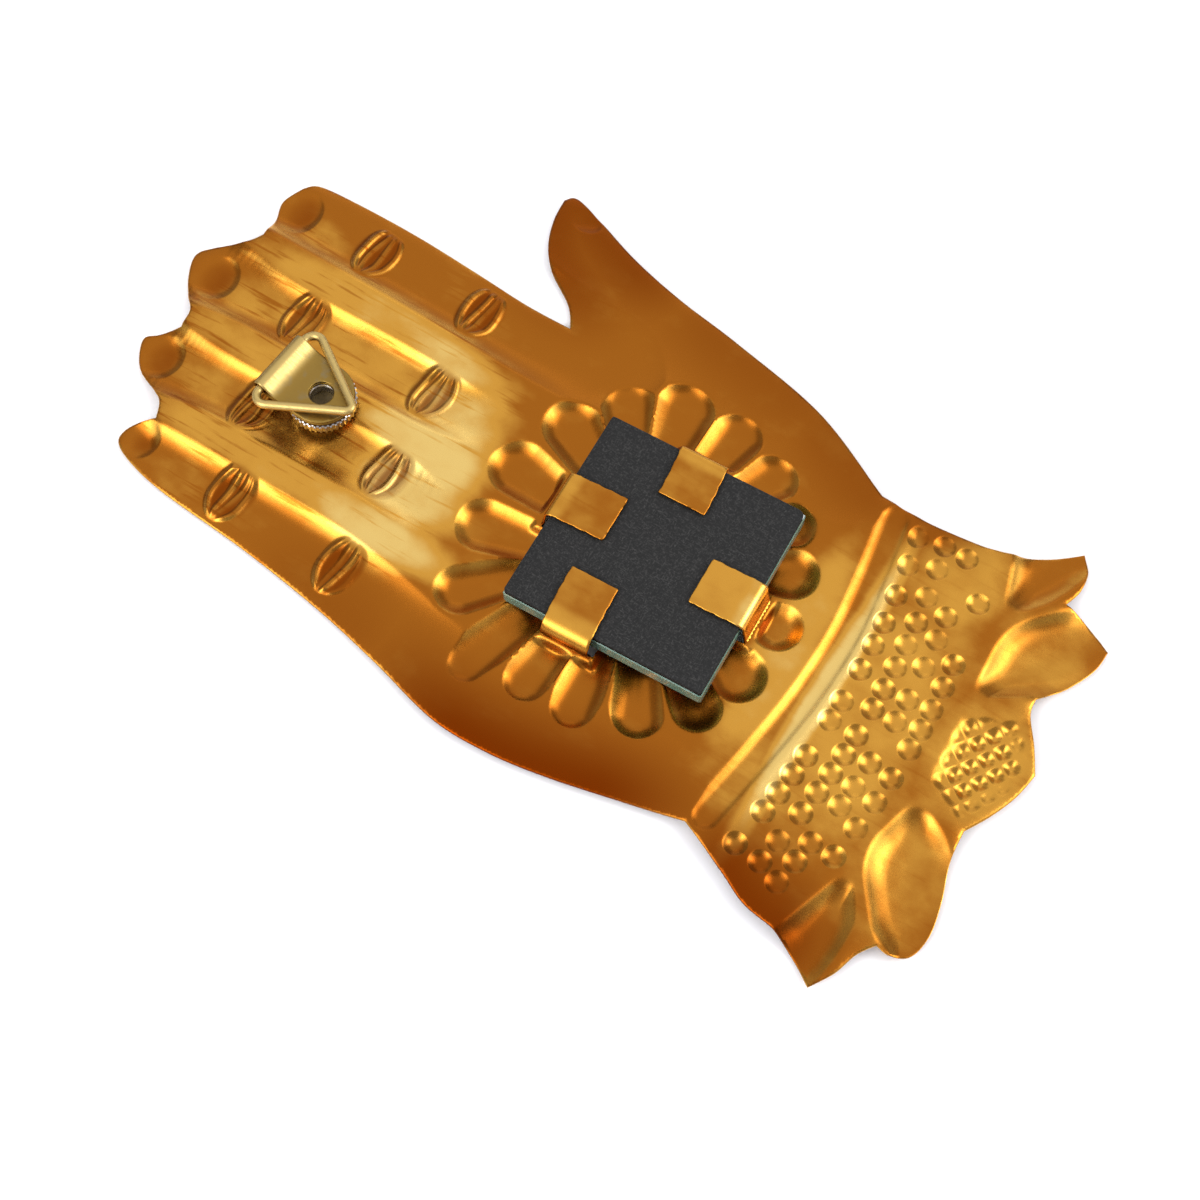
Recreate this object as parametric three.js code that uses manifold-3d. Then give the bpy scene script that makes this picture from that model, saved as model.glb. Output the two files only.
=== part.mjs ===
// A pressed sheet-metal hand with a mirror, a folk ornament, lying face down: its back faces up.
// Fingers point along +Y, the thumb is on the +X side, and lengths are in millimetres.
// Plan coordinates start at the mirror's centre, and z = 0 is the unpressed back of the sheet.
import * as THREE from "three";
import { mergeVertices } from "three/addons/utils/BufferGeometryUtils.js";
import Module from "manifold-3d";

// Main sizes of the hand, which the points of its plan follow
const HAND_LENGTH = 178;
const HAND_WIDTH = 105.5;

// Sheet, and how deep each part of the relief is pressed towards the front
const SHEET = 0.5;
const FINGER_DEPTH = 2;
const NAIL_DEPTH = 0.6;
const KNUCKLE_DEPTH = 0.5;
const PETAL_DEPTH = 2;
const RIB_DEPTH = 1.3;
const CUFF_DEPTH = 0.4;
const BEAD_DEPTH = 1.1;
const LEAF_DEPTH = 2.6;
const CONE_DEPTH = 1.4;
const SCALE_DEPTH = 0.5;

// Widths of the walls and marks of the relief
const FINGER_WALL = 2.8;
const NAIL_WALL = 1.6;
const PETAL_WALL = 2.2;
const RIB_WALL = 1.6;
const CUFF_WALL = 1;
const BEAD_WALL = 1.2;
const LEAF_WALL = 2.6;
const KNUCKLE_ACROSS = 4.3;
const KNUCKLE_ALONG = 3.5;
const KNUCKLE_WALL = 1.4;
const KNUCKLE_TURN = -6;
const BEAD_RADIUS = 2;
const SCALE_RADIUS = 1.1;
const SCALE_ROW = 3.4;
const SCALE_STEP = 2.6;
const SCALE_TURN = -26;

// Flower round the mirror
const FLOWER_X = -1.2;
const FLOWER_Y = 3.4;
const PETAL_ROOT = 0.55; // a petal's half width at its inner end, as a share of its outer one
const WINDOW_RADIUS = 14;

// Mirror, card and the tabs that hold them
const CLEARANCE = 0.3;
const MIRROR_SIDE = 38.1;
const MIRROR_TURN = 2.5;
const GLASS = 3;
const CARD = 1;
const CARD_INSET = 0.15; // from the glass's edge to the card's
const CARD_CORNER = 1;
const TAB_WIDTH = 9;
const TAB_SLIT = 0.4; // cut along each side of a tab's place
const TAB_BEND = 0.9;
const TAB_ROOT = 1.6; // how far a tab's root runs into the sheet

// Hanger
const HANGER_X = -5.2;
const HANGER_Y = 65.5;
const HANGER_TURN = -4.8;
const PAD_INSET = 1.2; // from the spacer's edge to the filler's
const PAD_HEIGHT = 0.7;
const SPACER_RADIUS = 6.2;
const SPACER = 2;
const SPACER_TEETH = 40;
const TOOTH_DEPTH = 0.25;
const STRAP = 0.5;
const STRAP_WIDTH = 11.8;
const STRAP_HOLE = 2.2;
const LAYER_GAP = 0.15;
const ROLL_REACH = 8.9; // from the hole to the roll's axis
const ROLL_SLOPE = 40;
const WIRE = 1.6;
const WIRE_PLAY = 0.3;
const WIRE_GAP = 0.3; // between the wire's two ends
const RING_PLAY = 0.3; // between the roll and the ring's bends
const RING_BEND = 1.9;
const RING_POINT_BEND = 1;
const RING_REACH = 17; // from the ring's straight side to its point
const RING_TILT = 5; // how far the resting ring is lifted by the strap

// Outline of the hand as smooth stretches that meet at its tips and notches, clockwise from the index tip
const OUTLINE = [
  // Index finger's outer edge
  [[31, 96], [33, 93.5], [33.6, 85], [33.6, 72], [32.8, 58], [32, 47], [32, 37.5]],
  // Thumb's inner edge, tip, outer edge and the side of the palm
  [[32, 37.5], [36, 40.5], [40.5, 47], [45, 50.5], [50, 52.4], [54.5, 53]],
  [[54.5, 53], [56, 51], [54, 44.5], [50.5, 35], [47.5, 23.5], [45, 9.5], [40.5, -10], [32, -27]],
  // Wrist's flare and the first leaf
  [[32, -27], [31.5, -33], [32, -41], [33.5, -50], [37, -56.5], [41, -62]],
  [[41, -62], [38, -64], [34, -64.5], [30.5, -63.5]],
  // Second leaf
  [[30.5, -63.5], [30, -67], [28.5, -71], [27, -73.5]],
  [[27, -73.5], [22.5, -73], [17, -70.5], [12.5, -67]],
  // Scaly cone in the middle of the cuff
  [[12.5, -67], [9.5, -67.5], [5, -70.5], [0.5, -73]],
  [[0.5, -73], [-4.5, -72], [-9.5, -70], [-14, -67.5]],
  // Fourth and fifth leaves
  [[-14, -67.5], [-19.5, -68], [-26, -70], [-32, -71], [-36.5, -70], [-38.3, -67], [-38, -64.5]],
  [[-38, -64.5], [-41, -62.5], [-45.5, -61], [-49.5, -58.5]],
  [[-49.5, -58.5], [-47, -55], [-44.5, -49.5], [-43.3, -43], [-40.5, -37], [-36.5, -28]],
  // Little finger's side of the palm
  [[-36.5, -28], [-39, -17.5], [-42, -4.5], [-43.6, 6], [-43.6, 17], [-40.2, 31], [-37.4, 44.5], [-35, 62],
    [-33.6, 80], [-32, 88.5], [-30, 93], [-27.5, 93.6], [-25, 92], [-23, 89.5]],
  // Tips of the ring, middle and index fingers
  [[-23, 89.5], [-20, 91], [-18.5, 93.5], [-16.5, 98], [-14, 100.5], [-10.5, 102], [-8.5, 100], [-5.5, 97]],
  [[-5.5, 97], [-2, 97.5], [0.5, 100], [4, 102.8], [8.5, 104.5], [11.5, 102.5], [15, 97.5], [18, 95.5]],
  [[18, 95.5], [22, 96], [26.5, 97.5], [31, 96]],
];

// Channels of the relief: each point is x, y, half width and the share of the finger's depth.
// A channel that runs out past the outline leaves the sheet low at its cut edge.
const CHANNELS = [
  // Index finger, running on into the palm beside the thumb
  [[32, 108, 12.5, 1], [31.4, 60, 12.4, 1], [30.9, 42, 12.6, 0.9], [32, 30, 14, 0.7]],
  // Middle and ring fingers, which fade before the flower
  [[7, 110, 9.5, 1], [7, 96, 7.4, 1], [6.6, 84, 6, 1], [6.5, 60, 6.2, 1], [6.5, 48, 6, 0.8], [7, 37, 5, 0.1]],
  [[-12.2, 108, 9, 1], [-12.2, 94, 7, 1], [-11.6, 82, 5.8, 1], [-11, 60, 6, 1], [-11, 48, 5.8, 0.8],
    [-13, 36, 5, 0.1]],
  // Little finger and the edge of the palm below it
  [[-35.4, 104, 12, 1], [-35, 62, 12, 1], [-35.6, 44, 12, 0.9], [-40.5, 20, 12, 0.6], [-40, 0, 12, 0.6],
    [-36, -19, 10.5, 0.5]],
  // Thumb and the ball of the thumb
  [[62, 66, 13, 0.8], [50, 42, 13, 0.8], [45, 26, 12, 0.7], [42.5, 9, 11.5, 0.6], [38.5, -8, 11, 0.6],
    [32, -20, 9.5, 0.5]],
];
// Rib between the palm and the cuff, and the cuff's shallow beaded band, whose points have half widths too
const RIB_HALF = 2.4;
const RIB = [[29, -31], [17, -33], [5, -34.3], [-8, -34], [-21, -32.4], [-34, -30.3]];
const CUFF = [[31, -41.5, 7], [17, -44, 7.8], [3, -46, 8.6],
  [-14, -45.8, 9], [-29, -43.6, 8.6], [-39, -42, 8]];

// Nails: x, y, half widths across the finger and along it, and the share of the finger's depth
const NAILS = [
  [26.3, 92, 4.3, 3.3, 1],
  [6.6, 98, 4.6, 3.1, 1],
  [-12.3, 96.3, 4.1, 3.7, 1],
  [-27.8, 88.6, 3.5, 2.7, 1],
  [52.6, 47, 2.4, 3.4, 0.8],
];
// Marks over the knuckles, two on each finger: x, y and the share of the finger's depth
const KNUCKLES = [
  [26, 76, 1],
  [25.5, 53, 0.96],
  [7, 79, 1],
  [7, 51, 0.85],
  [-12, 76.5, 1],
  [-10.5, 49, 0.82],
  [-28, 70, 1],
  [-29.5, 46, 0.91],
];
// Petals, punched by hand and so no two alike: each one's inner end, the centre of its round outer end, and
// its half width there
const PETALS = [
  [-7.5, 17, -9.8, 28.8, 5.2],
  [1.2, 18, 2.6, 29.4, 5.6],
  [9, 16, 14.6, 25.8, 5.6],
  [14, 13, 23.8, 20.2, 5.2],
  [15, 9, 28.4, 10.8, 5.6],
  [15, 2, 29, 0.2, 5],
  [14, -4, 25, -9.4, 4.8],
  [12, -10, 18.5, -16.5, 4.4],
  [6, -14, 10.6, -21, 5],
  [0.6, -15, 0.8, -23.8, 4.6],
  [-6, -14, -10.2, -22.6, 5.1],
  [-12, -11, -18.8, -19.6, 4.4],
  [-15, -6, -25.4, -11.8, 4.7],
  [-16, 0, -30, -1.9, 4.7],
  [-16, 6, -30.2, 7.3, 4.7],
  [-16, 12, -32.6, 17.6, 4.8],
  [-12, 16, -22, 25.6, 4.7],
];
// Beads of the cuff: rows that follow one curve, each with its distance from the first and its beads' x
const BEAD_CURVE = { x: -6, y: -39.7, bend: 0.0031 };
const BEAD_ROWS = [
  { below: 0, at: [28, 22.5, 16.5, 11, 6.5, 1.5, -5, -9, -16.5, -20.5, -24.5, -28.5, -35.5] },
  { below: 5, at: [29, 24.5, 19, 14, 9.5, 5, 0.5, -3.5, -9, -13, -17, -21, -25.5, -31.5, -36] },
  { below: 9.3, at: [29, 17.5, 13, 7.5, 1, -3.5, -12, -17, -21, -29, -33, -37.5] },
  { below: 13.6, at: [22.5, 10.5, 6, 1.5, -2.5, -6.5, -12.5, -17.5, -23, -29] },
];
// Leaves of the cuff and its cone, as corners in counterclockwise order
const LEAVES = [
  [[22.6, -55.3], [30.6, -63.2], [45, -66], [39.5, -50]],
  [[6.8, -57.4], [12.9, -66.2], [19, -70.3], [31, -76], [34.5, -68.5], [21.8, -56.6]],
  [[-26, -54.9], [-36.6, -64.8], [-36.2, -69], [-27, -69.2], [-17.4, -66.6], [-13, -58.3]],
  [[-46.5, -48.6], [-54, -58.5], [-41.2, -61.2], [-33.6, -59.6], [-29.2, -54.6]],
];
const CONE = [[-9.2, -58.4], [-13.2, -66.2], [-4.5, -71.2], [0.4, -72.2], [8.2, -67.2], [3.6, -57.9]];
// Tabs: side of the mirror in degrees, shift along that side, length over the card, and the root's distance
// from the glass
const TABS = [
  { side: 90, shift: -1, length: 10.5, root: 1.2 },
  { side: 0, shift: 1.3, length: 9.5, root: 1.2 },
  { side: 180, shift: -5.5, length: 9.5, root: 3.2 },
  { side: 270, shift: -0.9, length: 9.8, root: 1.2 },
];

const wasm = await Module();
wasm.setup();
const { degToRad, lerp } = THREE.MathUtils;

// Points of the plan moved out or in with the hand's main sizes, with any widths after them kept
const span = (values) => Math.max(...values) - Math.min(...values);
const growX = HAND_WIDTH / span(OUTLINE.flat().map(([x]) => x));
const growY = HAND_LENGTH / span(OUTLINE.flat().map(([, y]) => y));
const sized = (points) => points.map(([x, y, ...rest]) => [x * growX, y * growY, ...rest]);

// Taller than any pressing, for cuts that go right through the sheet
const REACH = 2 * (SHEET + FINGER_DEPTH + NAIL_DEPTH + LEAF_DEPTH + PETAL_DEPTH);

// A closed geometry as a solid that can be joined and cut
function solidOf(geometry) {
  const bare = geometry.index ? geometry.toNonIndexed() : geometry.clone();
  bare.deleteAttribute("normal");
  bare.deleteAttribute("uv");
  const merged = mergeVertices(bare, 1e-4);
  const mesh = new wasm.Mesh({
    numProp: 3,
    vertProperties: new Float32Array(merged.attributes.position.array),
    triVerts: new Uint32Array(merged.index.array),
  });
  return new wasm.Manifold(mesh);
}

function geometryOf(solid) {
  const mesh = solid.getMesh();
  const geometry = new THREE.BufferGeometry();
  geometry.setAttribute("position", new THREE.BufferAttribute(new Float32Array(mesh.vertProperties), 3));
  geometry.setIndex(new THREE.BufferAttribute(new Uint32Array(mesh.triVerts), 1));
  geometry.computeVertexNormals();
  return geometry;
}

// A flat shape raised from z = bottom to z = top
function prism(shape, bottom, top, curveSegments = 12) {
  const settings = { depth: top - bottom, bevelEnabled: false, curveSegments };
  return new THREE.ExtrudeGeometry(shape, settings).translate(0, 0, bottom);
}

function disc(radius, bottom, top, sides) {
  const geometry = new THREE.CylinderGeometry(radius, radius, top - bottom, sides);
  return geometry.rotateX(Math.PI / 2).translate(0, 0, (bottom + top) / 2);
}

// A bent strip: a line in (along, up) with rounded corners, given a thickness, then a width across x
function strip(line, thickness, width) {
  const sides = [1, -1].map((side) =>
    line.map((point, i) => {
      const before = line[Math.max(i - 1, 0)];
      const after = line[Math.min(i + 1, line.length - 1)];
      const way = after.clone().sub(before).normalize();
      const turn = point.clone().sub(before).normalize();
      const mitre = i === 0 ? 1 : Math.max(turn.dot(way), 0.5);
      const outward = new THREE.Vector2(-way.y, way.x).multiplyScalar((side * thickness) / 2 / mitre);
      return point.clone().add(outward);
    }),
  );
  const shape = new THREE.Shape([...sides[0], ...sides[1].reverse()]);
  const geometry = new THREE.ExtrudeGeometry(shape, { depth: width, bevelEnabled: false });
  // The shape's (along, up) plane turns to face along x
  const axes = new THREE.Matrix4().makeBasis(
    new THREE.Vector3(0, 1, 0),
    new THREE.Vector3(0, 0, 1),
    new THREE.Vector3(1, 0, 0),
  );
  return geometry.translate(0, 0, -width / 2).applyMatrix4(axes);
}

// Corners of a line rounded by curves that start and end a given length from each corner
function rounded(corners, length, steps = 5) {
  const line = [corners[0]];
  for (let i = 1; i < corners.length - 1; i++) {
    const corner = corners[i];
    const start = corner.clone().add(corners[i - 1].clone().sub(corner).setLength(length));
    const end = corner.clone().add(corners[i + 1].clone().sub(corner).setLength(length));
    line.push(...new THREE.QuadraticBezierCurve(start, corner, end).getPoints(steps));
  }
  line.push(corners[corners.length - 1]);
  return line;
}

// Walls of a pressing from its rim to its floor: share of the wall's width, and share of the depth
const ROUND_WALL = [[0, 0], [0.45, 0.7], [1, 1]];
const STRAIGHT_WALL = [[0, 0], [1, 1]];
// How far the front of a sloping wall lies beside its back, as a share of the sheet
const WALL_SHIFT = 0.5;

// A closed body through loops of points that run counterclockwise, from the top loop to the bottom loop
function loft(loops) {
  const positions = [];
  const add = (...corners) => corners.forEach(({ x, y, z }) => positions.push(x, y, z));
  for (let n = 1; n < loops.length; n++) {
    const upper = loops[n - 1];
    const lower = loops[n];
    upper.forEach((corner, i) => {
      const next = (i + 1) % upper.length;
      add(corner, lower[i], lower[next]);
      add(corner, lower[next], upper[next]);
    });
  }
  const top = loops[0];
  const bottom = loops[loops.length - 1];
  for (const [a, b, c] of THREE.ShapeUtils.triangulateShape(top, [])) add(top[a], top[b], top[c]);
  for (const [a, b, c] of THREE.ShapeUtils.triangulateShape(bottom, [])) add(bottom[a], bottom[c], bottom[b]);
  const geometry = new THREE.BufferGeometry();
  return geometry.setAttribute("position", new THREE.Float32BufferAttribute(positions, 3));
}

// One pressing of the sheet as a solid that reaches up to z = top. With no offset it is the hollow in the
// back, with minus the sheet's thickness it is the raised front, and with a clearance it fills the hollow.
function pressing({ loop, wall, depth, from = 0, profile = ROUND_WALL }, offset, top) {
  const levels = profile.map(([inward, down]) =>
    loop(inward * wall + offset * WALL_SHIFT).map(
      ({ x, y, share = 1 }) => new THREE.Vector3(x, y, offset - (from + depth * down) * share),
    ),
  );
  const rim = levels[0].map(({ x, y }) => new THREE.Vector3(x, y, top));
  return solidOf(loft([rim, ...levels]));
}

// Loop round a chain of points of x, y, half width and share of the depth, with round ends
function channelLoop(chain, inset, steps, capSteps) {
  const line = new THREE.CatmullRomCurve3(chain.map(([x, y]) => new THREE.Vector3(x, y, 0)));
  const loop = [];
  const place = (t, degrees) => {
    const { x, y } = line.getPoint(t);
    const way = line.getTangent(t);
    const last = Math.min(Math.floor(t * (chain.length - 1)), chain.length - 2);
    const between = t * (chain.length - 1) - last;
    const [half, share] = [2, 3].map((n) => lerp(chain[last][n] ?? 1, chain[last + 1][n] ?? 1, between));
    const angle = Math.atan2(way.y, way.x) + degToRad(degrees);
    const reach = Math.max(half - inset, 0.1);
    loop.push({ x: x + reach * Math.cos(angle), y: y + reach * Math.sin(angle), share });
  };
  for (let i = 0; i <= steps; i++) place(i / steps, -90);
  for (let i = 1; i < capSteps; i++) place(1, -90 + (180 * i) / capSteps);
  for (let i = steps; i >= 0; i--) place(i / steps, 90);
  for (let i = 1; i < capSteps; i++) place(0, 90 + (180 * i) / capSteps);
  return loop;
}

function ellipseLoop(x, y, across, along, inset, sides) {
  return Array.from({ length: sides }, (_, i) => {
    const angle = (2 * Math.PI * i) / sides;
    return { x: x + (across - inset) * Math.cos(angle), y: y + (along - inset) * Math.sin(angle) };
  });
}

// Corners in counterclockwise order, each moved in from both of its sides
function cornerLoop(corners, inset) {
  return corners.map(([x, y], i) => {
    const [lastX, lastY] = corners[(i + corners.length - 1) % corners.length];
    const [nextX, nextY] = corners[(i + 1) % corners.length];
    const before = new THREE.Vector2(lastY - y, x - lastX).normalize();
    const after = new THREE.Vector2(y - nextY, nextX - x).normalize();
    const share = inset / (1 + before.dot(after));
    return { x: x + (before.x + after.x) * share, y: y + (before.y + after.y) * share };
  });
}

// A point given in a frame that is moved to a place and turned
function placed(along, aside, x, y, degrees) {
  const angle = degToRad(degrees);
  return {
    x: x + along * Math.cos(angle) - aside * Math.sin(angle),
    y: y + along * Math.sin(angle) + aside * Math.cos(angle),
  };
}

// A lens across the finger
function lensLoop(x, y, inset) {
  const steps = 4;
  const side = (sign, i) => {
    const share = (2 * i) / steps - 1;
    const across = share * (KNUCKLE_ACROSS - inset);
    const along = sign * (KNUCKLE_ALONG - inset) * (1 - share ** 2);
    return placed(across, along, x, y, KNUCKLE_TURN);
  };
  const ends = Array.from({ length: steps }, (_, i) => i);
  return [...ends.map((i) => side(-1, i)), ...ends.map((i) => side(1, steps - i))];
}

// How far a point lies inside a convex shape
function insideOf(corners, { x, y }) {
  const sides = corners.map(([ax, ay], i) => {
    const [bx, by] = corners[(i + 1) % corners.length];
    return ((bx - ax) * (y - ay) - (by - ay) * (x - ax)) / Math.hypot(bx - ax, by - ay);
  });
  return Math.min(...sides);
}

const fingers = CHANNELS.map(sized).map((chain) => ({
  loop: (inset) => channelLoop(chain, inset, 2 * (chain.length - 1), 5),
  wall: FINGER_WALL,
  depth: FINGER_DEPTH,
}));

const nails = sized(NAILS).map(([x, y, across, along, share]) => ({
  loop: (inset) => ellipseLoop(x, y, across, along, inset, 10),
  wall: NAIL_WALL,
  depth: NAIL_DEPTH,
  from: FINGER_DEPTH * share,
}));

const knuckles = sized(KNUCKLES).map(([x, y, share]) => ({
  loop: (inset) => lensLoop(x, y, inset),
  wall: KNUCKLE_WALL,
  depth: KNUCKLE_DEPTH,
  from: FINGER_DEPTH * share,
  profile: STRAIGHT_WALL,
}));

const petals = PETALS.map(([innerX, innerY, outerX, outerY, half]) => {
  const chain = [[innerX, innerY, PETAL_ROOT * half], [outerX, outerY, half]];
  const loop = (inset) => channelLoop(chain, inset, 1, 5);
  return { loop, wall: PETAL_WALL, depth: PETAL_DEPTH, profile: STRAIGHT_WALL };
});

const ribChain = sized(RIB).map(([x, y]) => [x, y, RIB_HALF]);
const cuffChain = sized(CUFF);
const rib = { loop: (inset) => channelLoop(ribChain, inset, 10, 4), wall: RIB_WALL, depth: RIB_DEPTH };
const cuff = { loop: (inset) => channelLoop(cuffChain, inset, 10, 4), wall: CUFF_WALL, depth: CUFF_DEPTH };

const beads = BEAD_ROWS.flatMap(({ below, at }) =>
  at.map((across) => {
    const [[x, y]] = sized([[across, BEAD_CURVE.y + BEAD_CURVE.bend * (across - BEAD_CURVE.x) ** 2 - below]]);
    const loop = (inset) => ellipseLoop(x, y, BEAD_RADIUS, BEAD_RADIUS, inset, 6);
    return { loop, wall: BEAD_WALL, depth: BEAD_DEPTH, from: CUFF_DEPTH, profile: STRAIGHT_WALL };
  }),
);

const leaves = LEAVES.map(sized).map((corners) => ({
  loop: (inset) => cornerLoop(corners, inset),
  wall: LEAF_WALL,
  depth: LEAF_DEPTH,
}));

const coneCorners = sized(CONE);
const cone = { loop: (inset) => cornerLoop(coneCorners, inset), wall: LEAF_WALL, depth: CONE_DEPTH };

// Scales in slanting rows, as many as fit on the cone's floor
const coneX = coneCorners.reduce((sum, [x]) => sum + x / CONE.length, 0);
const coneY = coneCorners.reduce((sum, [, y]) => sum + y / CONE.length, 0);
const coneReach = Math.max(...coneCorners.map(([x, y]) => Math.hypot(x - coneX, y - coneY)));
const scales = [];
const rows = Math.ceil(coneReach / SCALE_ROW);
const scalesInHalfRow = Math.ceil(coneReach / SCALE_STEP);
for (let row = -rows; row <= rows; row++) {
  for (let n = -scalesInHalfRow; n <= scalesInHalfRow; n++) {
    const along = (n + (row % 2) / 2) * SCALE_STEP;
    const { x, y } = placed(along, row * SCALE_ROW, coneX, coneY, SCALE_TURN);
    if (insideOf(coneCorners, { x, y }) < LEAF_WALL) continue;
    scales.push({
      loop: (inset) => ellipseLoop(x, y, SCALE_RADIUS, SCALE_RADIUS, inset, 6),
      wall: SCALE_RADIUS / 2,
      depth: SCALE_DEPTH,
      from: CONE_DEPTH,
      profile: STRAIGHT_WALL,
    });
  }
}

// Points on the outline for each point that its curves are drawn through
const OUTLINE_STEPS = 2;

function handShape() {
  const shape = new THREE.Shape();
  const stretches = OUTLINE.map(sized);
  shape.moveTo(...stretches[0][0]);
  for (const [, ...points] of stretches) shape.splineThru(points.map(([x, y]) => new THREE.Vector2(x, y)));
  return shape;
}

// Heights of the stack that the tabs hold
const glassBottom = CLEARANCE;
const cardBottom = glassBottom + GLASS + CLEARANCE;
const tabBottom = cardBottom + CARD + CLEARANCE;

// One tab, folded up from the sheet and over the card
function tab({ side, shift, length, root }) {
  const edge = MIRROR_SIDE / 2 + CLEARANCE + SHEET / 2;
  const corners = [
    new THREE.Vector2(MIRROR_SIDE / 2 + root + TAB_ROOT, -SHEET / 2),
    new THREE.Vector2(MIRROR_SIDE / 2 + root, -SHEET / 2),
    new THREE.Vector2(edge, tabBottom + SHEET / 2),
    new THREE.Vector2(MIRROR_SIDE / 2 - length, tabBottom + SHEET / 2),
  ];
  const geometry = strip(rounded(corners, TAB_BEND), SHEET, TAB_WIDTH);
  // A strip runs along +Y, so the side's direction is a quarter turn further
  return geometry.translate(-shift, 0, 0).rotateZ(degToRad(side - 90 + MIRROR_TURN));
}

// A block over a tab's place in the plan, from one distance out from the mirror's middle to another
function tabBlock({ side, shift }, from, to, width) {
  const block = new THREE.BoxGeometry(width, to - from, 2 * REACH).translate(-shift, (from + to) / 2, 0);
  return solidOf(block.rotateZ(degToRad(side - 90 + MIRROR_TURN)));
}

// The sheet with its front raised and its back hollowed by every pressing, and the tabs folded up from it
function handPlate() {
  const { Manifold } = wasm;
  const raised = (marks) => Manifold.union(marks.map((mark) => pressing(mark, -SHEET, -SHEET / 2)));
  const hollow = (marks) => Manifold.union(marks.map((mark) => pressing(mark, 0, REACH)));
  const others = [...fingers, ...nails, ...knuckles, rib, cuff, ...beads, ...leaves, cone, ...scales];
  // The sheet stays flat at the tabs' roots
  const half = MIRROR_SIDE / 2;
  const flats = (more) => {
    const reach = half + TAB_ROOT + more;
    return Manifold.union(TABS.map((each) => tabBlock(each, 0, reach + each.root, TAB_WIDTH + 2 * more)));
  };
  const front = Manifold.union([raised(others), raised(petals).subtract(flats(TAB_SLIT))]);
  const back = Manifold.union([hollow(others), hollow(petals).subtract(flats(TAB_SLIT + SHEET))]);
  const shape = handShape();
  const window = disc(WINDOW_RADIUS, -REACH, REACH, 48).translate(FLOWER_X, FLOWER_Y, 0);
  const slots = TABS.map((each) => tabBlock(each, 0, half + each.root, TAB_WIDTH + 2 * TAB_SLIT));
  const whole = solidOf(prism(shape, -REACH, REACH, OUTLINE_STEPS));
  return geometryOf(
    solidOf(prism(shape, -SHEET, 0, OUTLINE_STEPS))
      .add(front.intersect(whole))
      .subtract(back)
      .subtract(Manifold.union([solidOf(window), ...slots]))
      .add(Manifold.union(TABS.map((each) => solidOf(tab(each))))),
  );
}

function mirrorGlass() {
  return new THREE.BoxGeometry(MIRROR_SIDE, MIRROR_SIDE, GLASS).translate(0, 0, glassBottom + GLASS / 2);
}

function backingCard() {
  const half = MIRROR_SIDE / 2 - CARD_INSET;
  const shape = new THREE.Shape();
  shape.moveTo(-half, -half);
  shape.lineTo(half - CARD_CORNER, -half);
  shape.absarc(half - CARD_CORNER, CARD_CORNER - half, CARD_CORNER, -Math.PI / 2, 0);
  shape.lineTo(half, half);
  shape.lineTo(-half, half);
  return prism(shape, cardBottom, cardBottom + CARD, 4);
}

// Place of the hanger's hole, and heights of its pieces over the sheet
const [hangerPlace] = sized([[HANGER_X, HANGER_Y]]);
const spacerBottom = PAD_HEIGHT + CLEARANCE;
const strapBottom = spacerBottom + SPACER + CLEARANCE;
const rollRadius = WIRE / 2 + WIRE_PLAY + STRAP / 2;
const rollHeight = strapBottom + STRAP / 2 + rollRadius;

// Filler under the spacer: flat on top, and filling the fingers' hollows below it
function adhesivePad() {
  const radius = SPACER_RADIUS - PAD_INSET;
  const plan = disc(radius, -REACH, PAD_HEIGHT, 28).translate(...hangerPlace, 0);
  const flat = disc(radius, CLEARANCE, PAD_HEIGHT, 28).translate(...hangerPlace, 0);
  const fillings = wasm.Manifold.union(fingers.map((mark) => pressing(mark, CLEARANCE, REACH)));
  return geometryOf(fillings.intersect(solidOf(plan)).add(solidOf(flat)));
}

// Disc with a milled edge and a bore
function spacerDisc() {
  const points = [];
  for (let i = 0; i < 2 * SPACER_TEETH; i++) {
    const radius = SPACER_RADIUS - (i % 2) * TOOTH_DEPTH;
    const angle = (Math.PI * i) / SPACER_TEETH;
    points.push(new THREE.Vector2(radius * Math.cos(angle), radius * Math.sin(angle)));
  }
  const shape = new THREE.Shape(points);
  shape.holes.push(new THREE.Path().absarc(0, 0, STRAP_HOLE, 0, 2 * Math.PI));
  return prism(shape, spacerBottom, spacerBottom + SPACER);
}

// Strip folded double: along the bottom, round the wire, down a slope and back along the top
function hangerStrap() {
  const low = strapBottom + STRAP / 2;
  const high = low + STRAP + LAYER_GAP;
  const end = -STRAP_WIDTH;
  const slope = degToRad(ROLL_SLOPE);
  const line = [new THREE.Vector2(end, low)];
  const steps = 18;
  for (let i = 0; i <= steps; i++) {
    const angle = lerp(-Math.PI / 2, Math.PI / 2 + slope, i / steps);
    const [along, up] = [rollRadius * Math.cos(angle), rollRadius * Math.sin(angle)];
    line.push(new THREE.Vector2(ROLL_REACH + along, rollHeight + up));
  }
  const leave = line[line.length - 1];
  const foot = new THREE.Vector2(leave.x - (leave.y - high) / Math.tan(slope), high);
  line.push(...rounded([leave, foot, new THREE.Vector2(end, high)], STRAP).slice(1));
  // The plan of the strap: a round end beyond the hole, and straight sides up to the roll
  const half = STRAP_WIDTH / 2;
  const plan = new THREE.Shape();
  plan.absarc(0, 0, half, Math.PI, 2 * Math.PI);
  plan.lineTo(half, 2 * ROLL_REACH);
  plan.lineTo(-half, 2 * ROLL_REACH);
  const top = rollHeight + 2 * rollRadius;
  const folded = solidOf(strip(line, STRAP, 2 * STRAP_WIDTH));
  const trimmed = folded.intersect(solidOf(prism(plan, 0, top)));
  return geometryOf(trimmed.subtract(solidOf(disc(STRAP_HOLE, 0, top, 24))));
}

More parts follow.
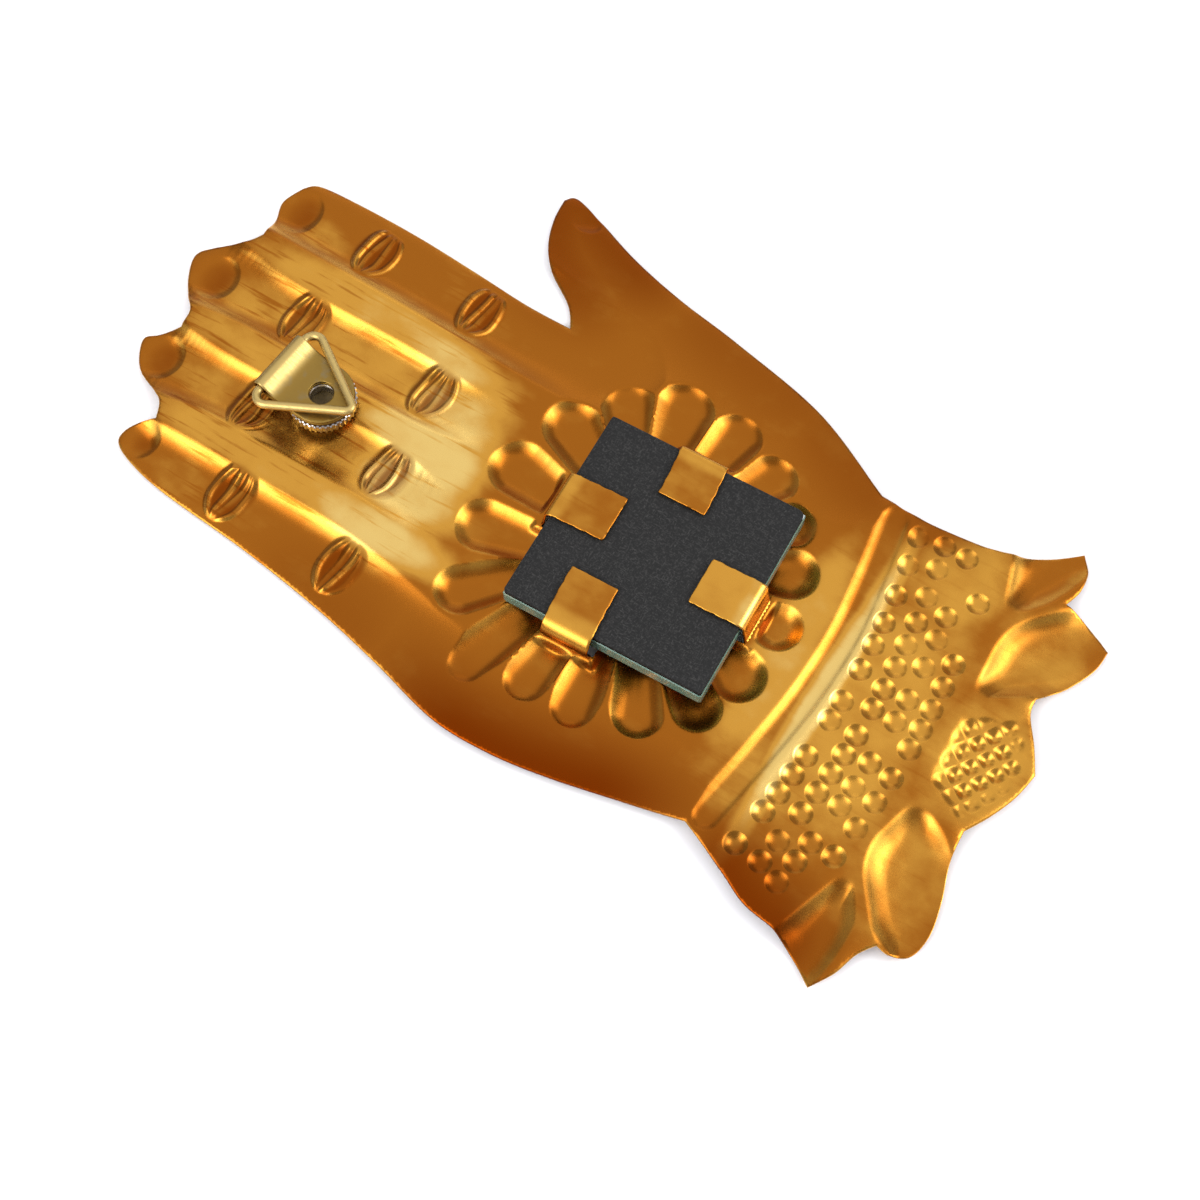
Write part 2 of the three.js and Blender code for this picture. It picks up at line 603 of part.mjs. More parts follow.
// Triangle of round wire about its straight side, lying towards -Y, its ends meeting inside the roll
function hangerRing() {
  // A bend of 120 degrees starts and ends this many radii from its corner, and its curve is pulled this far
  const tangent = Math.sqrt(3);
  const pull = 0.45;
  const half = STRAP_WIDTH / 2 + RING_PLAY + RING_BEND * tangent;
  const corners = [[-half, 0], [0, -RING_REACH], [half, 0]].map(([x, y]) => new THREE.Vector3(x, y, 0));
  const bends = [RING_BEND, RING_POINT_BEND, RING_BEND];
  const path = new THREE.CurvePath();
  let last = new THREE.Vector3(-WIRE_GAP / 2, 0, 0);
  corners.forEach((corner, i) => {
    const side = (other) => other.clone().sub(corner).setLength(bends[i] * tangent);
    const [start, end] = [corners[(i + 2) % 3], corners[(i + 1) % 3]].map((other) => side(other).add(corner));
    const [before, after] = [start, end].map((point) => point.clone().lerp(corner, pull));
    path.add(new THREE.LineCurve3(last, start));
    path.add(new THREE.CubicBezierCurve3(start, before, after, end));
    last = end;
  });
  path.add(new THREE.LineCurve3(last, new THREE.Vector3(WIRE_GAP / 2, 0, 0)));
  const section = new THREE.Shape().absarc(0, 0, WIRE / 2, 0, 2 * Math.PI);
  return new THREE.ExtrudeGeometry(section, { extrudePath: path, steps: 54, curveSegments: 4 });
}

function named(name, geometry, colour, roughness, metalness) {
  const material = new THREE.MeshStandardMaterial({ color: colour, roughness, metalness });
  const mesh = new THREE.Mesh(geometry, material);
  mesh.name = name;
  return mesh;
}

const hand = named("hand_plate", handPlate(), 0xb07a2c, 0.32, 1);

const pad = named("adhesive_pad", adhesivePad(), 0x8a7a52, 0.7, 0);

const mirror = new THREE.Group();
mirror.rotation.z = degToRad(MIRROR_TURN);
mirror.add(
  named("mirror_glass", mirrorGlass(), 0xbfd6c8, 0.05, 0.2),
  named("backing_card", backingCard(), 0x2b2b2c, 0.85, 0),
);

const ring = named("hanger_ring", hangerRing(), 0xd2bf68, 0.3, 1);
ring.position.set(0, ROLL_REACH, rollHeight);
ring.rotation.x = -degToRad(RING_TILT);

const hanger = new THREE.Group();
hanger.position.set(...hangerPlace, 0);
hanger.rotation.z = degToRad(HANGER_TURN);
hanger.add(
  named("spacer_disc", spacerDisc(), 0xa9a9ae, 0.3, 1),
  named("hanger_strap", hangerStrap(), 0xb59a4a, 0.32, 1),
  ring,
);

// The part's frame: the middle of its box in plan, on the surface that it lies on
const assembly = new THREE.Group();
assembly.add(hand, pad, mirror, hanger);
const box = new THREE.Box3().setFromObject(assembly, true);
const centre = box.getCenter(new THREE.Vector3());
assembly.position.set(-centre.x, -centre.y, -box.min.z);

const ornament = new THREE.Group();
ornament.add(assembly);

export default ornament;
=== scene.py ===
# %% [markdown]
# # A pressed brass hand with a mirror, lying face down
# The real object is a folk ornament: one thin sheet of brass, pressed into the relief of a hand with a
# flower, a beaded cuff and leaves. A square mirror sits in the flower, held by four tabs, and a wall
# hanger with a triangular ring is fixed to the back. It lies face down, so the hollow side shows.
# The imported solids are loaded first, because every piece made here has to sit where they are.

# %% Load the solids
import math

import bpy
import numpy as np
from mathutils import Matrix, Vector
from mathutils.geometry import delaunay_2d_cdt
from mathutils.kdtree import KDTree


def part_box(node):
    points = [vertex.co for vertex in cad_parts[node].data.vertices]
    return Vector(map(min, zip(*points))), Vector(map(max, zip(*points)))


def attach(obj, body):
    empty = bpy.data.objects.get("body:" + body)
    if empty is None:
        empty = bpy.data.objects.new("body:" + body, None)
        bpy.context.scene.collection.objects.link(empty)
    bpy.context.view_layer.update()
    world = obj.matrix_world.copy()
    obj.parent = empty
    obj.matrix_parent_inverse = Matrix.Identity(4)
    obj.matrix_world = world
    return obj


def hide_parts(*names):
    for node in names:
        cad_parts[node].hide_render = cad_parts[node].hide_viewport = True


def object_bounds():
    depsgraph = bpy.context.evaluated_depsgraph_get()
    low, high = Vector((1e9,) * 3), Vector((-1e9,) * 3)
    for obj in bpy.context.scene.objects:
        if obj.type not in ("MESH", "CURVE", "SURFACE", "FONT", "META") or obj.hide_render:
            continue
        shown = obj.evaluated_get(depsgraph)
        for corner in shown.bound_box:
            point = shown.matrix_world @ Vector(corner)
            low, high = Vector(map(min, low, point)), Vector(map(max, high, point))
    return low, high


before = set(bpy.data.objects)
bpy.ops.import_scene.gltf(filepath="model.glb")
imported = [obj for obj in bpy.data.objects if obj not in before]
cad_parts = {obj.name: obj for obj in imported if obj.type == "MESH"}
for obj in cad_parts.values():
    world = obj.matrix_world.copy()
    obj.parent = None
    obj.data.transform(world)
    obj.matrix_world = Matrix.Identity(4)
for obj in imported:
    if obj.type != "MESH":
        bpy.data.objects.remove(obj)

cad_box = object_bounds()

# %% [markdown]
# All sizes below are in millimetres, on a plan that starts at the mirror's centre, with z = 0 on the
# unpressed back of the sheet. The glass tells where that is in the solids' frame: its middle is the
# plan's origin, and it lies one clearance above the sheet.

# %% The plan's place in the solids' frame
MM = 0.001
CLEARANCE = 0.3
glass_low, glass_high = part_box("mirror_glass")
glass_middle = (glass_low + glass_high) / 2
ORIGIN = Vector((glass_middle.x, glass_middle.y, glass_low.z - CLEARANCE * MM))


def placed(points):
    """Plan points in millimetres, as points of the solids' frame in metres."""
    return np.asarray(points, float) * MM + np.array(ORIGIN)


print("plan origin in mm:", [round(v / MM, 2) for v in ORIGIN])

# %% [markdown]
# The camera stands where the photographer stood: above the back of the hand, on the little finger's
# side, looking down steeply. The turn, the height and the distance come from fitting the square card
# and the circle of petals, and a 60 mm lens gives their perspective.

# %% Camera
VIEW_TURN = math.radians(-58)
VIEW_HEIGHT = math.radians(67.7)
VIEW_DISTANCE = 341.5
LOOK_AT = (-10.7, 4.44, -1)
LENS = 60
SENSOR = 36

to_right = Vector((math.cos(VIEW_TURN), math.sin(VIEW_TURN), 0))
to_back = Vector((-math.sin(VIEW_TURN), math.cos(VIEW_TURN), 0))
to_top = Vector((0, 0, 1))
to_camera = to_top * math.sin(VIEW_HEIGHT) - to_back * math.cos(VIEW_HEIGHT)


def put(name, data):
    """An object that holds the given data, linked into the scene."""
    made = bpy.data.objects.new(name, data)
    bpy.context.collection.objects.link(made)
    return made


def face_hand(made, away):
    """Places an object some millimetres away from the view's middle, facing it."""
    made.location = Vector(placed(LOOK_AT)) + away * MM
    made.rotation_mode = "QUATERNION"
    made.rotation_quaternion = (-away).to_track_quat("-Z", "Y")


camera_data = bpy.data.cameras.new("camera")
camera_data.lens = LENS
camera_data.sensor_width = SENSOR
camera_data.clip_start = 0.01
camera = put("camera", camera_data)
face_hand(camera, to_camera * VIEW_DISTANCE)
bpy.context.scene.camera = camera
bpy.context.scene.view_settings.view_transform = "Standard"
print("camera at", [round(v, 3) for v in camera.location])

# %% [markdown]
# Colours are written as the hex values that a colour picker shows, which are sRGB. Shaders work in
# linear light, so one function turns them. Node trees could be drawn by hand in the editor, but a script
# gives the same tree each time: one function adds a node with its settings and links, so that each
# material below reads as a short list of what feeds what. Patterns are sized in millimetres.

# %% Colours and nodes
# Settings that many nodes share: a smooth rise from one number to another, and a mix of two colours
SMOOTH = {"interpolation_type": "SMOOTHSTEP"}
COLOURS = {"data_type": "RGBA", "output": 2}
# Inputs of a mix of colours, which Blender tells apart by number: its share and the two colours
SHARE, FIRST, SECOND = 0, 6, 7


def linear(colour):
    """An sRGB hex colour as linear red, green, blue and alpha."""
    shares = [int(colour[i:i + 2], 16) / 255 for i in (1, 3, 5)]
    return (*((s / 12.92 if s <= 0.04045 else ((s + 0.055) / 1.055) ** 2.4) for s in shares), 1)


def add(tree, kind, inputs=None, output=0, **settings):
    """The wanted output of a new node, whose inputs are given as values or as other nodes' outputs."""
    node = tree.nodes.new("ShaderNode" + kind)
    for name, value in settings.items():
        setattr(node, name, value)
    for name, value in (inputs or {}).items():
        if isinstance(value, bpy.types.NodeSocket):
            tree.links.new(value, node.inputs[name])
        else:
            node.inputs[name].default_value = value
    return node.outputs[output] if node.outputs else None


def new_material(name):
    """A material with an empty node tree."""
    material = bpy.data.materials.new(name)
    material.use_nodes = True
    material.node_tree.nodes.clear()
    print("material:", name)
    return material, material.node_tree


def surface(tree, inputs):
    """The shader of a material, linked to its output."""
    shader = add(tree, "BsdfPrincipled", inputs)
    add(tree, "OutputMaterial", {"Surface": shader})


def pattern(tree, lengths, detail=3):
    """A noise from 0 to 1 whose patches have the given lengths in millimetres along x, y and z."""
    place = add(tree, "TexCoord", output="Object")
    scale = [1 / (length * MM) for length in lengths]
    scaled = add(tree, "VectorMath", {0: place, 1: scale}, operation="MULTIPLY")
    return add(tree, "TexNoise", {"Vector": scaled, "Scale": 1, "Detail": detail}, "Fac")


# %% [markdown]
# The floor is a plain white sheet, lit until it is nearly blown out, as in a catalogue photograph.
# It only has to catch the soft shadows that show how far the sheet's edges stand off it.

# %% Floor
FLOOR_SIZE = 2.4
floor_mesh = bpy.data.meshes.new("floor")
half_floor = FLOOR_SIZE / 2
floor_signs = [(-1, -1), (1, -1), (1, 1), (-1, 1)]
floor_corners = [(x * half_floor, y * half_floor, cad_box[0].z) for x, y in floor_signs]
floor_mesh.from_pydata(floor_corners, [], [(0, 1, 2, 3)])
floor = put("floor", floor_mesh)
paper, tree = new_material("white_paper_floor")
surface(tree, {"Base Color": linear("#F8F8F8"), "Roughness": 0.9})
floor_mesh.materials.append(paper)

# %% [markdown]
# Polished metal shows what stands round it more than its own colour, so the lights are placed by what
# the photograph's walls reflect: a box to the front left and one to the right, both brightest in their
# middles, a broad soft one overhead, a weak one at the back, and an even grey elsewhere. Area lights are
# used, because a sun or a point would leave hard glints on metal.

# %% Lights
SIDE_BOXES = {"front_left": (-640, -470), "right": (860, -80)}  # how far right and back they stand
SIDE_BOX_UP = 620
MIDDLE_NEARER = 0.96  # where a box's bright middle hangs, as a share of the way to the box


def softbox(name, right, back, up, width, brightness):
    """A square light that faces the hand, in millimetres from the view's middle. White paper is 1 bright."""
    light = bpy.data.lights.new(name, "AREA")
    light.size = width * MM
    light.energy = brightness * math.pi * light.size ** 2
    face_hand(put(name, light), to_right * right + to_back * back + to_top * up)


softbox("box_overhead", 0, 300, 1000, 1800, 0.68)
for side, (right, back) in SIDE_BOXES.items():
    softbox(f"box_{side}", right, back, SIDE_BOX_UP, 800, 2.6)
    nearer = [MIDDLE_NEARER * way for way in (right, back, SIDE_BOX_UP)]
    softbox(f"box_{side}_middle", *nearer, 320, 6)
softbox("box_back", 100, 1100, 420, 700, 0.7)
world = bpy.data.worlds.new("studio")
world.use_nodes = True
world.node_tree.nodes["Background"].inputs["Color"].default_value = linear("#BDBCC6")
world.node_tree.nodes["Background"].inputs["Strength"].default_value = 0.85
bpy.context.scene.world = world

# %% [markdown]
# The hand's outline was cut along smooth stretches that meet at tips and notches. It could be a curve
# drawn in the viewport, but points in the script can be measured and changed. The same points as in the
# solids' plan are joined here by a spline with far more steps, so the cut edge shows no corners.

# %% Outline of the hand
OUTLINE = [
    [(31, 96), (33, 93.5), (33.6, 85), (33.6, 72), (32.8, 58), (32, 47), (32, 37.5)],
    [(32, 37.5), (36, 40.5), (40.5, 47), (45, 50.5), (50, 52.4), (54.5, 53)],
    [(54.5, 53), (56, 51), (54, 44.5), (50.5, 35), (47.5, 23.5), (45, 9.5), (40.5, -10), (32, -27)],
    [(32, -27), (31.5, -33), (32, -41), (33.5, -50), (37, -56.5), (41, -62)],
    [(41, -62), (38, -64), (34, -64.5), (30.5, -63.5)],
    [(30.5, -63.5), (30, -67), (28.5, -71), (27, -73.5)],
    [(27, -73.5), (22.5, -73), (17, -70.5), (12.5, -67)],
    [(12.5, -67), (9.5, -67.5), (5, -70.5), (0.5, -73)],
    [(0.5, -73), (-4.5, -72), (-9.5, -70), (-14, -67.5)],
    [(-14, -67.5), (-19.5, -68), (-26, -70), (-32, -71), (-36.5, -70), (-38.3, -67), (-38, -64.5)],
    [(-38, -64.5), (-41, -62.5), (-45.5, -61), (-49.5, -58.5)],
    [(-49.5, -58.5), (-47, -55), (-44.5, -49.5), (-43.3, -43), (-40.5, -37), (-36.5, -28)],
    [(-36.5, -28), (-39, -17.5), (-42, -4.5), (-43.6, 6), (-43.6, 17), (-40.2, 31), (-37.4, 44.5),
     (-35, 62), (-33.6, 80), (-32, 88.5), (-30, 93), (-27.5, 93.6), (-25, 92), (-23, 89.5)],
    [(-23, 89.5), (-20, 91), (-18.5, 93.5), (-16.5, 98), (-14, 100.5), (-10.5, 102), (-8.5, 100),
     (-5.5, 97)],
    [(-5.5, 97), (-2, 97.5), (0.5, 100), (4, 102.8), (8.5, 104.5), (11.5, 102.5), (15, 97.5), (18, 95.5)],
    [(18, 95.5), (22, 96), (26.5, 97.5), (31, 96)],
]
STEP = 0.45  # spacing of the mesh's points
SPLINE_STEPS = 24


def spline(points, steps):
    """A smooth line through rows of numbers, with a number of steps between each two."""
    rows = np.asarray(points, float)
    padded = np.vstack([rows[:1], rows, rows[-1:]])
    share = np.linspace(0, 1, steps, endpoint=False)[:, None]
    line = []
    for a, b, c, d in zip(padded, padded[1:], padded[2:], padded[3:]):
        slope_b, slope_c = (c - a) / 2, (d - b) / 2
        line.append((2 * b - 2 * c + slope_b + slope_c) * share ** 3
                    + (-3 * b + 3 * c - 2 * slope_b - slope_c) * share ** 2 + slope_b * share + b)
    return np.vstack([*line, rows[-1:]])


def lengths_along(line):
    """Distance along a line at each of its points."""
    return np.r_[0, np.cumsum(np.hypot(*np.diff(line, axis=0).T))]


def evenly(line, step):
    """The points of a line spread out again, about one step apart, without its last point."""
    lengths = lengths_along(line)
    count = max(round(lengths[-1] / step), 1)
    along = np.linspace(0, lengths[-1], count, endpoint=False)
    return np.stack([np.interp(along, lengths, column) for column in line.T], 1)


outline = np.vstack([evenly(spline(stretch, SPLINE_STEPS), STEP) for stretch in OUTLINE])[::-1]
print("outline points:", len(outline), "size in mm:", np.ptp(outline, axis=0).round(1))

# %% [markdown]
# The relief is one height over the plan. It could be sculpted, but a rule for each pressing stays smooth
# and can be set by its real depth: how far a point lies inside a finger, a petal or a leaf gives its
# depth, as a round hollow with a soft rim that a punch would leave. Fingers are channels about a line,
# with a half width, a share of the full depth and a wall width at each point.

# %% Fingers, thumb and the sides of the palm
FINGER_DEPTH = 2.0
FINGERS = [
    [(32, 108, 12.5, 1, 5), (31.4, 60, 12.4, 1, 5), (30.9, 42, 12.6, 0.9, 6), (32, 30, 14, 0.7, 8)],
    [(7, 110, 9.5, 1, 5), (7, 96, 7.4, 1, 5), (6.6, 84, 6, 1, 4.6), (6.5, 60, 6.2, 1, 4.6),
     (6.5, 48, 6, 0.8, 5), (7, 37, 5, 0.1, 5)],
    [(-12.2, 108, 9, 1, 5), (-12.2, 94, 7, 1, 5), (-11.6, 82, 5.8, 1, 4.6), (-11, 62, 6, 0.62, 4.6),
     (-11, 48, 5.8, 0.8, 5), (-13, 36, 5, 0.1, 5)],
    [(-35.4, 104, 12, 1, 5), (-35, 62, 12, 1, 5), (-35.6, 44, 12, 0.9, 6), (-40.5, 20, 13, 0.6, 8),
     (-40, 0, 13, 0.6, 10), (-36, -19, 11, 0.5, 10)],
    [(62, 66, 13, 0.8, 7), (50, 42, 13, 0.8, 7), (45, 26, 13, 0.7, 10), (42.5, 9, 13, 0.6, 11),
     (38.5, -8, 12, 0.6, 11), (32, -20, 10, 0.5, 10)],
]
RIM = 0.6  # how far a pressing's soft rim reaches to each side of its edge


def soft_step(low, high, value):
    """0 below low, 1 above high, and a smooth rise between them."""
    share = np.clip((value - low) / (high - low), 0, 1)
    return share * share * (3 - 2 * share)


def scoop(depth_inside, wall, rim=RIM):
    """Depth of a round hollow as a share, by how far inside its edge a point lies and its wall's width."""
    in_rim = np.clip(depth_inside + rim, 0, None) ** 2 / (4 * rim)
    softened = np.where(depth_inside < rim, in_rim, depth_inside)
    return 1 - (1 - np.clip(softened / wall, 0, 1)) ** 2


def channel(xy, chain, steps=10):
    """Depth of a channel, as a share. Its rows hold x, y, half width, share of the depth and wall width."""
    line = spline(chain, steps)
    depth = np.zeros(len(xy))
    for a, b in zip(line, line[1:]):
        way = b[:2] - a[:2]
        along = np.clip(((xy - a[:2]) @ way) / (way @ way), 0, 1)
        gap = np.hypot(*(xy - a[:2] - along[:, None] * way).T)
        half, share, wall = (a[n] + (b[n] - a[n]) * along for n in (2, 3, 4))
        depth = np.maximum(depth, share * scoop(half - gap, wall))
    return depth


def finger_depth(xy):
    return np.max([channel(xy, chain) for chain in FINGERS], axis=0)


print("fingers and sides of the palm:", len(FINGERS))

# %% [markdown]
# Small marks are pressed into the fingers: an oval nail at each tip, deepest towards the palm, and over
# each knuckle a lens of curved ridges, which are creases on the hand's front. They could be bump in the
# material, but then a side view would show them flat. Slow waves make each knuckle a little different.

# %% Nails and knuckles
NAIL_DEPTH = 0.9
NAIL_WALL = 3.0
NAIL_RIM = 0.3
NAIL_TIP = 0.3  # a nail's depth at the finger's tip, as a share of its depth towards the palm
NAILS = [
    (26.4, 93.2, 5, 4.1),
    (6.6, 98.3, 4.8, 4.4),
    (-12, 96.8, 4.6, 4.1),
    (-27.4, 89.6, 3.9, 3.1),
    (52.6, 47, 2.4, 3.4),
]
KNUCKLE_HEIGHT = 0.75
KNUCKLE_ACROSS = 5.7
KNUCKLE_ALONG = 3.7
KNUCKLE_TURN = math.radians(-6)
KNUCKLES = [(26, 76), (25.5, 53), (7, 79), (7, 51), (-12, 76.5), (-10.5, 49), (-28, 70), (-29.5, 46)]
# Ridges of a knuckle, from the tip's side to the palm's: places as shares of its lens, and heights
RIDGES = [(0.8, 1), (0.2, 0.8), (-0.35, 0.9), (-0.85, 0.6)]
RIDGE_HALF = 0.6
# How far a ridge strays from its place, as a share of the lens, and how much fainter it may be
RIDGE_UNEVEN = 0.1
RIDGE_FAINT = 0.2
LENS_SHARE = 0.3  # the lens's part of a knuckle's height, under its ridges
LENS_ENDS = 0.7  # where a lens starts to fade towards its ends, as a share of its half width
LENS_RIM = (-0.9, 0.6)  # where its sides fade, in mm inside its edge
LENS_BLUNT = 0.8  # the end on the thumb's side is blunter
LENS_CURVE = 2.5


def turned(xy, x, y, angle):
    """Plan points in a frame that is moved and turned: along its x axis, and along its y axis."""
    dx, dy = (xy - [x, y]).T
    return dx * math.cos(angle) + dy * math.sin(angle), dy * math.cos(angle) - dx * math.sin(angle)


def from_oval(xy, x, y, across, along):
    """Distance of plan points from the middle of an oval, which is 1 on its edge."""
    return np.hypot((xy[:, 0] - x) / across, (xy[:, 1] - y) / along)


def nail_depth(xy):
    depth = np.zeros(len(xy))
    for x, y, across, along in NAILS:
        gap = from_oval(xy, x, y, across, along)
        to_palm = np.clip(0.5 - (xy[:, 1] - y) / along / 2, 0, 1)
        tilted = NAIL_TIP + (1 - NAIL_TIP) * to_palm
        depth = np.maximum(depth, tilted * scoop((1 - gap) * min(across, along), NAIL_WALL, NAIL_RIM))
    return depth


def knuckles(xy):
    """How much of a knuckle's lens, and of a ridge on it, lies at plan points, both from 0 to 1."""
    lenses = np.zeros(len(xy))
    ridges = np.zeros(len(xy))
    for x, y in KNUCKLES:
        across, along = turned(xy, x, y, KNUCKLE_TURN)
        share = across / KNUCKLE_ACROSS
        fade = 1 - soft_step(LENS_ENDS, 1, np.abs(share))
        to_end = np.abs(np.where(share > 0, LENS_BLUNT * share, share))
        half = KNUCKLE_ALONG * np.clip(1 - to_end ** LENS_CURVE, 0, 1)
        lenses = np.maximum(lenses, fade * soft_step(*LENS_RIM, half - np.abs(along)))
        for place, height in RIDGES:
            strayed = place + RIDGE_UNEVEN * np.sin(x + y + 4 * place + 2 * share)
            pressed = height * (1 - RIDGE_FAINT * (1 - math.sin(2 * x + 7 * place)))
            gap = (along - strayed * half) / RIDGE_HALF
            ridges = np.maximum(ridges, pressed * fade * np.exp(-gap ** 2))
    return lenses, ridges


def knuckle_height(xy):
    lenses, ridges = knuckles(xy)
    return LENS_SHARE * lenses + (1 - LENS_SHARE) * ridges


print("nails:", len(NAILS), "knuckles:", len(KNUCKLES))

# %% [markdown]
# The flower is a ring of petals round the mirror. One petal could be turned round the middle, but each
# was scooped out by hand with a round punch, so no two are alike: a petal is a short channel that widens
# outwards. At the tabs' roots the sheet was left flat.

# %% Flower
FLOWER = (-1.2, 3.4)
PETAL_DEPTH = 1.9
PETAL_WALL = 3.8
PETAL_ROOT = 0.75  # a petal's half width at its inner end, as a share of its outer one
# Each petal's inner end, the centre of its round outer end, and its half width there
PETALS = [
    (-7.5, 17, -9.8, 28.8, 5.2),
    (1.2, 18, 2.6, 29.4, 5.6),
    (9, 16, 14.6, 25.8, 5.6),
    (14, 13, 23.8, 20.2, 5.2),
    (15, 9, 28.4, 10.8, 5.6),
    (15, 2, 29, 0.2, 5.0),
    (14, -4, 25, -9.4, 4.8),
    (12, -10, 18.5, -16.5, 4.4),
    (6, -14, 10.6, -21, 5.0),
    (0.6, -15, 0.8, -23.8, 4.6),
    (-6, -14, -10.2, -22.6, 5.1),
    (-12, -11, -18.8, -19.6, 4.4),
    (-15, -6, -25.4, -11.8, 4.7),
    (-16, 0, -30, -1.9, 4.7),
    (-16, 6, -30.2, 7.3, 4.7),
    (-16, 12, -32.6, 17.6, 4.8),
    (-12, 16, -22, 25.6, 4.7),
]
MIRROR_SIDE = 38.1
MIRROR_TURN = math.radians(2.5)
TAB_WIDTH = 9.0
TAB_SLIT = 0.4
TAB_FLAT = 0.9  # how far the flat sheet reaches beyond a tab's root, and then how soon it ends
TAB_FADE = 1.2
# Tabs: side of the mirror in degrees, shift along it, length over the card, the root's distance from the
# glass, how far the tab bulges out, the bend's size, how far the free end leans aside and how pale it is,
# which on the last tab is mostly a painted highlight on its bend
TAB_SIZES = ("side", "shift", "length", "root", "bulge", "bend", "lean", "pale")
TABS = [dict(zip(TAB_SIZES, row)) for row in (
    (0, 1.3, 9.5, 1.2, 0, 0.9, -1, 0.15),
    (90, -1, 10.5, 1.2, 0, 0.9, -0.4, 0.15),
    (180, -5.5, 9.5, 1.4, 1.8, 2.6, -0.8, 0.2),
    (270, -0.9, 9.8, 1.2, 0, 1.4, -0.3, 0.45),
)]


for tab in TABS:
    tab["angle"] = math.radians(tab["side"]) + MIRROR_TURN


def flat_at_tabs(xy):
    """1 at the tabs' roots, where the sheet stays flat, and 0 away from them."""
    flat = np.zeros(len(xy))
    for tab in TABS:
        out, aside = turned(xy, 0, 0, tab["angle"])
        beside = np.abs(aside - tab["shift"]) - TAB_WIDTH / 2 - TAB_SLIT
        beyond = np.maximum(beside, out - MIRROR_SIDE / 2 - tab["root"] - TAB_FLAT)
        flat = np.maximum(flat, np.where(out > 0, 1 - soft_step(0, TAB_FADE, beyond), 0))
    return flat


def petal_depth(xy):
    depth = np.zeros(len(xy))
    for x_in, y_in, x_out, y_out, half in PETALS:
        chain = [(x_in, y_in, half * PETAL_ROOT, 1, PETAL_WALL), (x_out, y_out, half, 1, PETAL_WALL)]
        depth = np.maximum(depth, channel(xy, chain, 4))
    return depth


print("petals:", len(PETALS), "tabs:", len(TABS))

# %% [markdown]
# Between the palm and the cuff runs a rib. The cuff is a shallow band with four rows of round dents,
# and below it stand leaves and a scaly cone, which were pressed deepest. The dents' places are listed,
# because the real ones are unevenly spaced, while the cone's scales are one wave across another.

# %% Rib, cuff, leaves and cone
RIB_DEPTH = 0.9
RIB_HALF = 2.8
RIB_WALL = 2.2
RIB = [(29, -31), (17, -33), (5, -34.3), (-8, -34), (-21, -32.4), (-34, -30.3)]
CUFF_DEPTH = 0.25
CUFF_WALL = 2
CUFF = [(31, -41.5, 7), (17, -44, 7.8), (3, -46, 8.6), (-14, -45.8, 9), (-29, -43.6, 8.6), (-39, -42, 8)]
BEAD_DEPTH = 0.85
BEAD_RADIUS = 2.1
BEAD_RIM = 0.2
BEAD_UNEVEN = 0.25  # how much shallower a bead may be than the deepest, as a share
# The first row's middle and top, and its bend; the others lie below it
BEAD_MIDDLE, BEAD_TOP, BEAD_BEND = -6, -39.7, 0.0031
BEAD_ROWS = [
    (0, [28, 22.5, 16.5, 11, 6.5, 1.5, -5, -9, -16.5, -20.5, -24.5, -28.5, -35.5]),
    (5, [29, 24.5, 19, 14, 9.5, 5, 0.5, -3.5, -9, -13, -17, -21, -25.5, -31.5, -36]),
    (9.3, [29, 17.5, 13, 7.5, 1, -3.5, -12, -17, -21, -29, -33, -37.5]),
    (13.6, [22.5, 10.5, 6, 1.5, -2.5, -6.5, -12.5, -17.5, -23, -29]),
]
LEAF_DEPTH = 2.6
LEAF_STEP = 0.55  # the share of a leaf's depth that its narrow wall has, before the floor's slow fall
LEAF_WALL = 4
LEAF_FLOOR = 12
LEAF_ROUND = 4  # how softly a leaf's sides meet, in mm
LEAVES = [
    [(22.6, -55.3), (30.6, -63.2), (45, -66), (39.5, -50)],
    [(6.8, -57.4), (11.8, -67.4), (17.5, -73), (31, -77), (34.5, -68.5), (21.8, -56.6)],
    [(-26, -54.9), (-38.6, -64.4), (-39, -72), (-27, -72.6), (-16.6, -67.4), (-13, -58.3)],
    [(-46.5, -48.6), (-54, -58.5), (-41.2, -61.2), (-33.6, -59.6), (-29.2, -54.6)],
]
CONE_DEPTH = 0.9
CONE_WALL = 4.5
CONE_ROUND = 1.2
CONE = [(-9.2, -58.4), (-13.2, -66.2), (-4.5, -71.2), (0.4, -72.2), (8.2, -67.2), (3.6, -57.9)]
SCALE_DEPTH = 0.75
SCALE_TURN = math.radians(-33)
SCALE_STEP = 3.05
SCALE_X, SCALE_Y = -6.2, -61.7  # the middle of one scale
SCALE_SHARP = 1.3


def inside(xy, corners, soft):
    """How far plan points lie inside a convex shape with soft corners, which run counterclockwise."""
    gaps = []
    for (ax, ay), (bx, by) in zip(corners, corners[1:] + corners[:1]):
        to_left = (bx - ax) * (xy[:, 1] - ay) - (by - ay) * (xy[:, 0] - ax)
        gaps.append(to_left / math.hypot(bx - ax, by - ay))
    nearest, second = np.partition(gaps, 1, axis=0)[:2]
    return nearest - np.clip(soft - (second - nearest), 0, None) ** 2 / (4 * soft)


def bead_depth(xy, radius=BEAD_RADIUS):
    depth = np.zeros(len(xy))
    for below, places in BEAD_ROWS:
        for x in places:
            y = BEAD_TOP + BEAD_BEND * (x - BEAD_MIDDLE) ** 2 - below
            pressed = 1 - BEAD_UNEVEN * math.sin(2.3 * x + below) ** 2
            gap = np.hypot(*(xy - [x, y]).T)
            depth = np.maximum(depth, pressed * scoop(radius - gap, radius, BEAD_RIM))
    return depth


def leaf_depth(xy):
    within_leaf = np.max([inside(xy, leaf, LEAF_ROUND) for leaf in LEAVES], axis=0)
    return LEAF_STEP * scoop(within_leaf, LEAF_WALL) + (1 - LEAF_STEP) * scoop(within_leaf, LEAF_FLOOR)


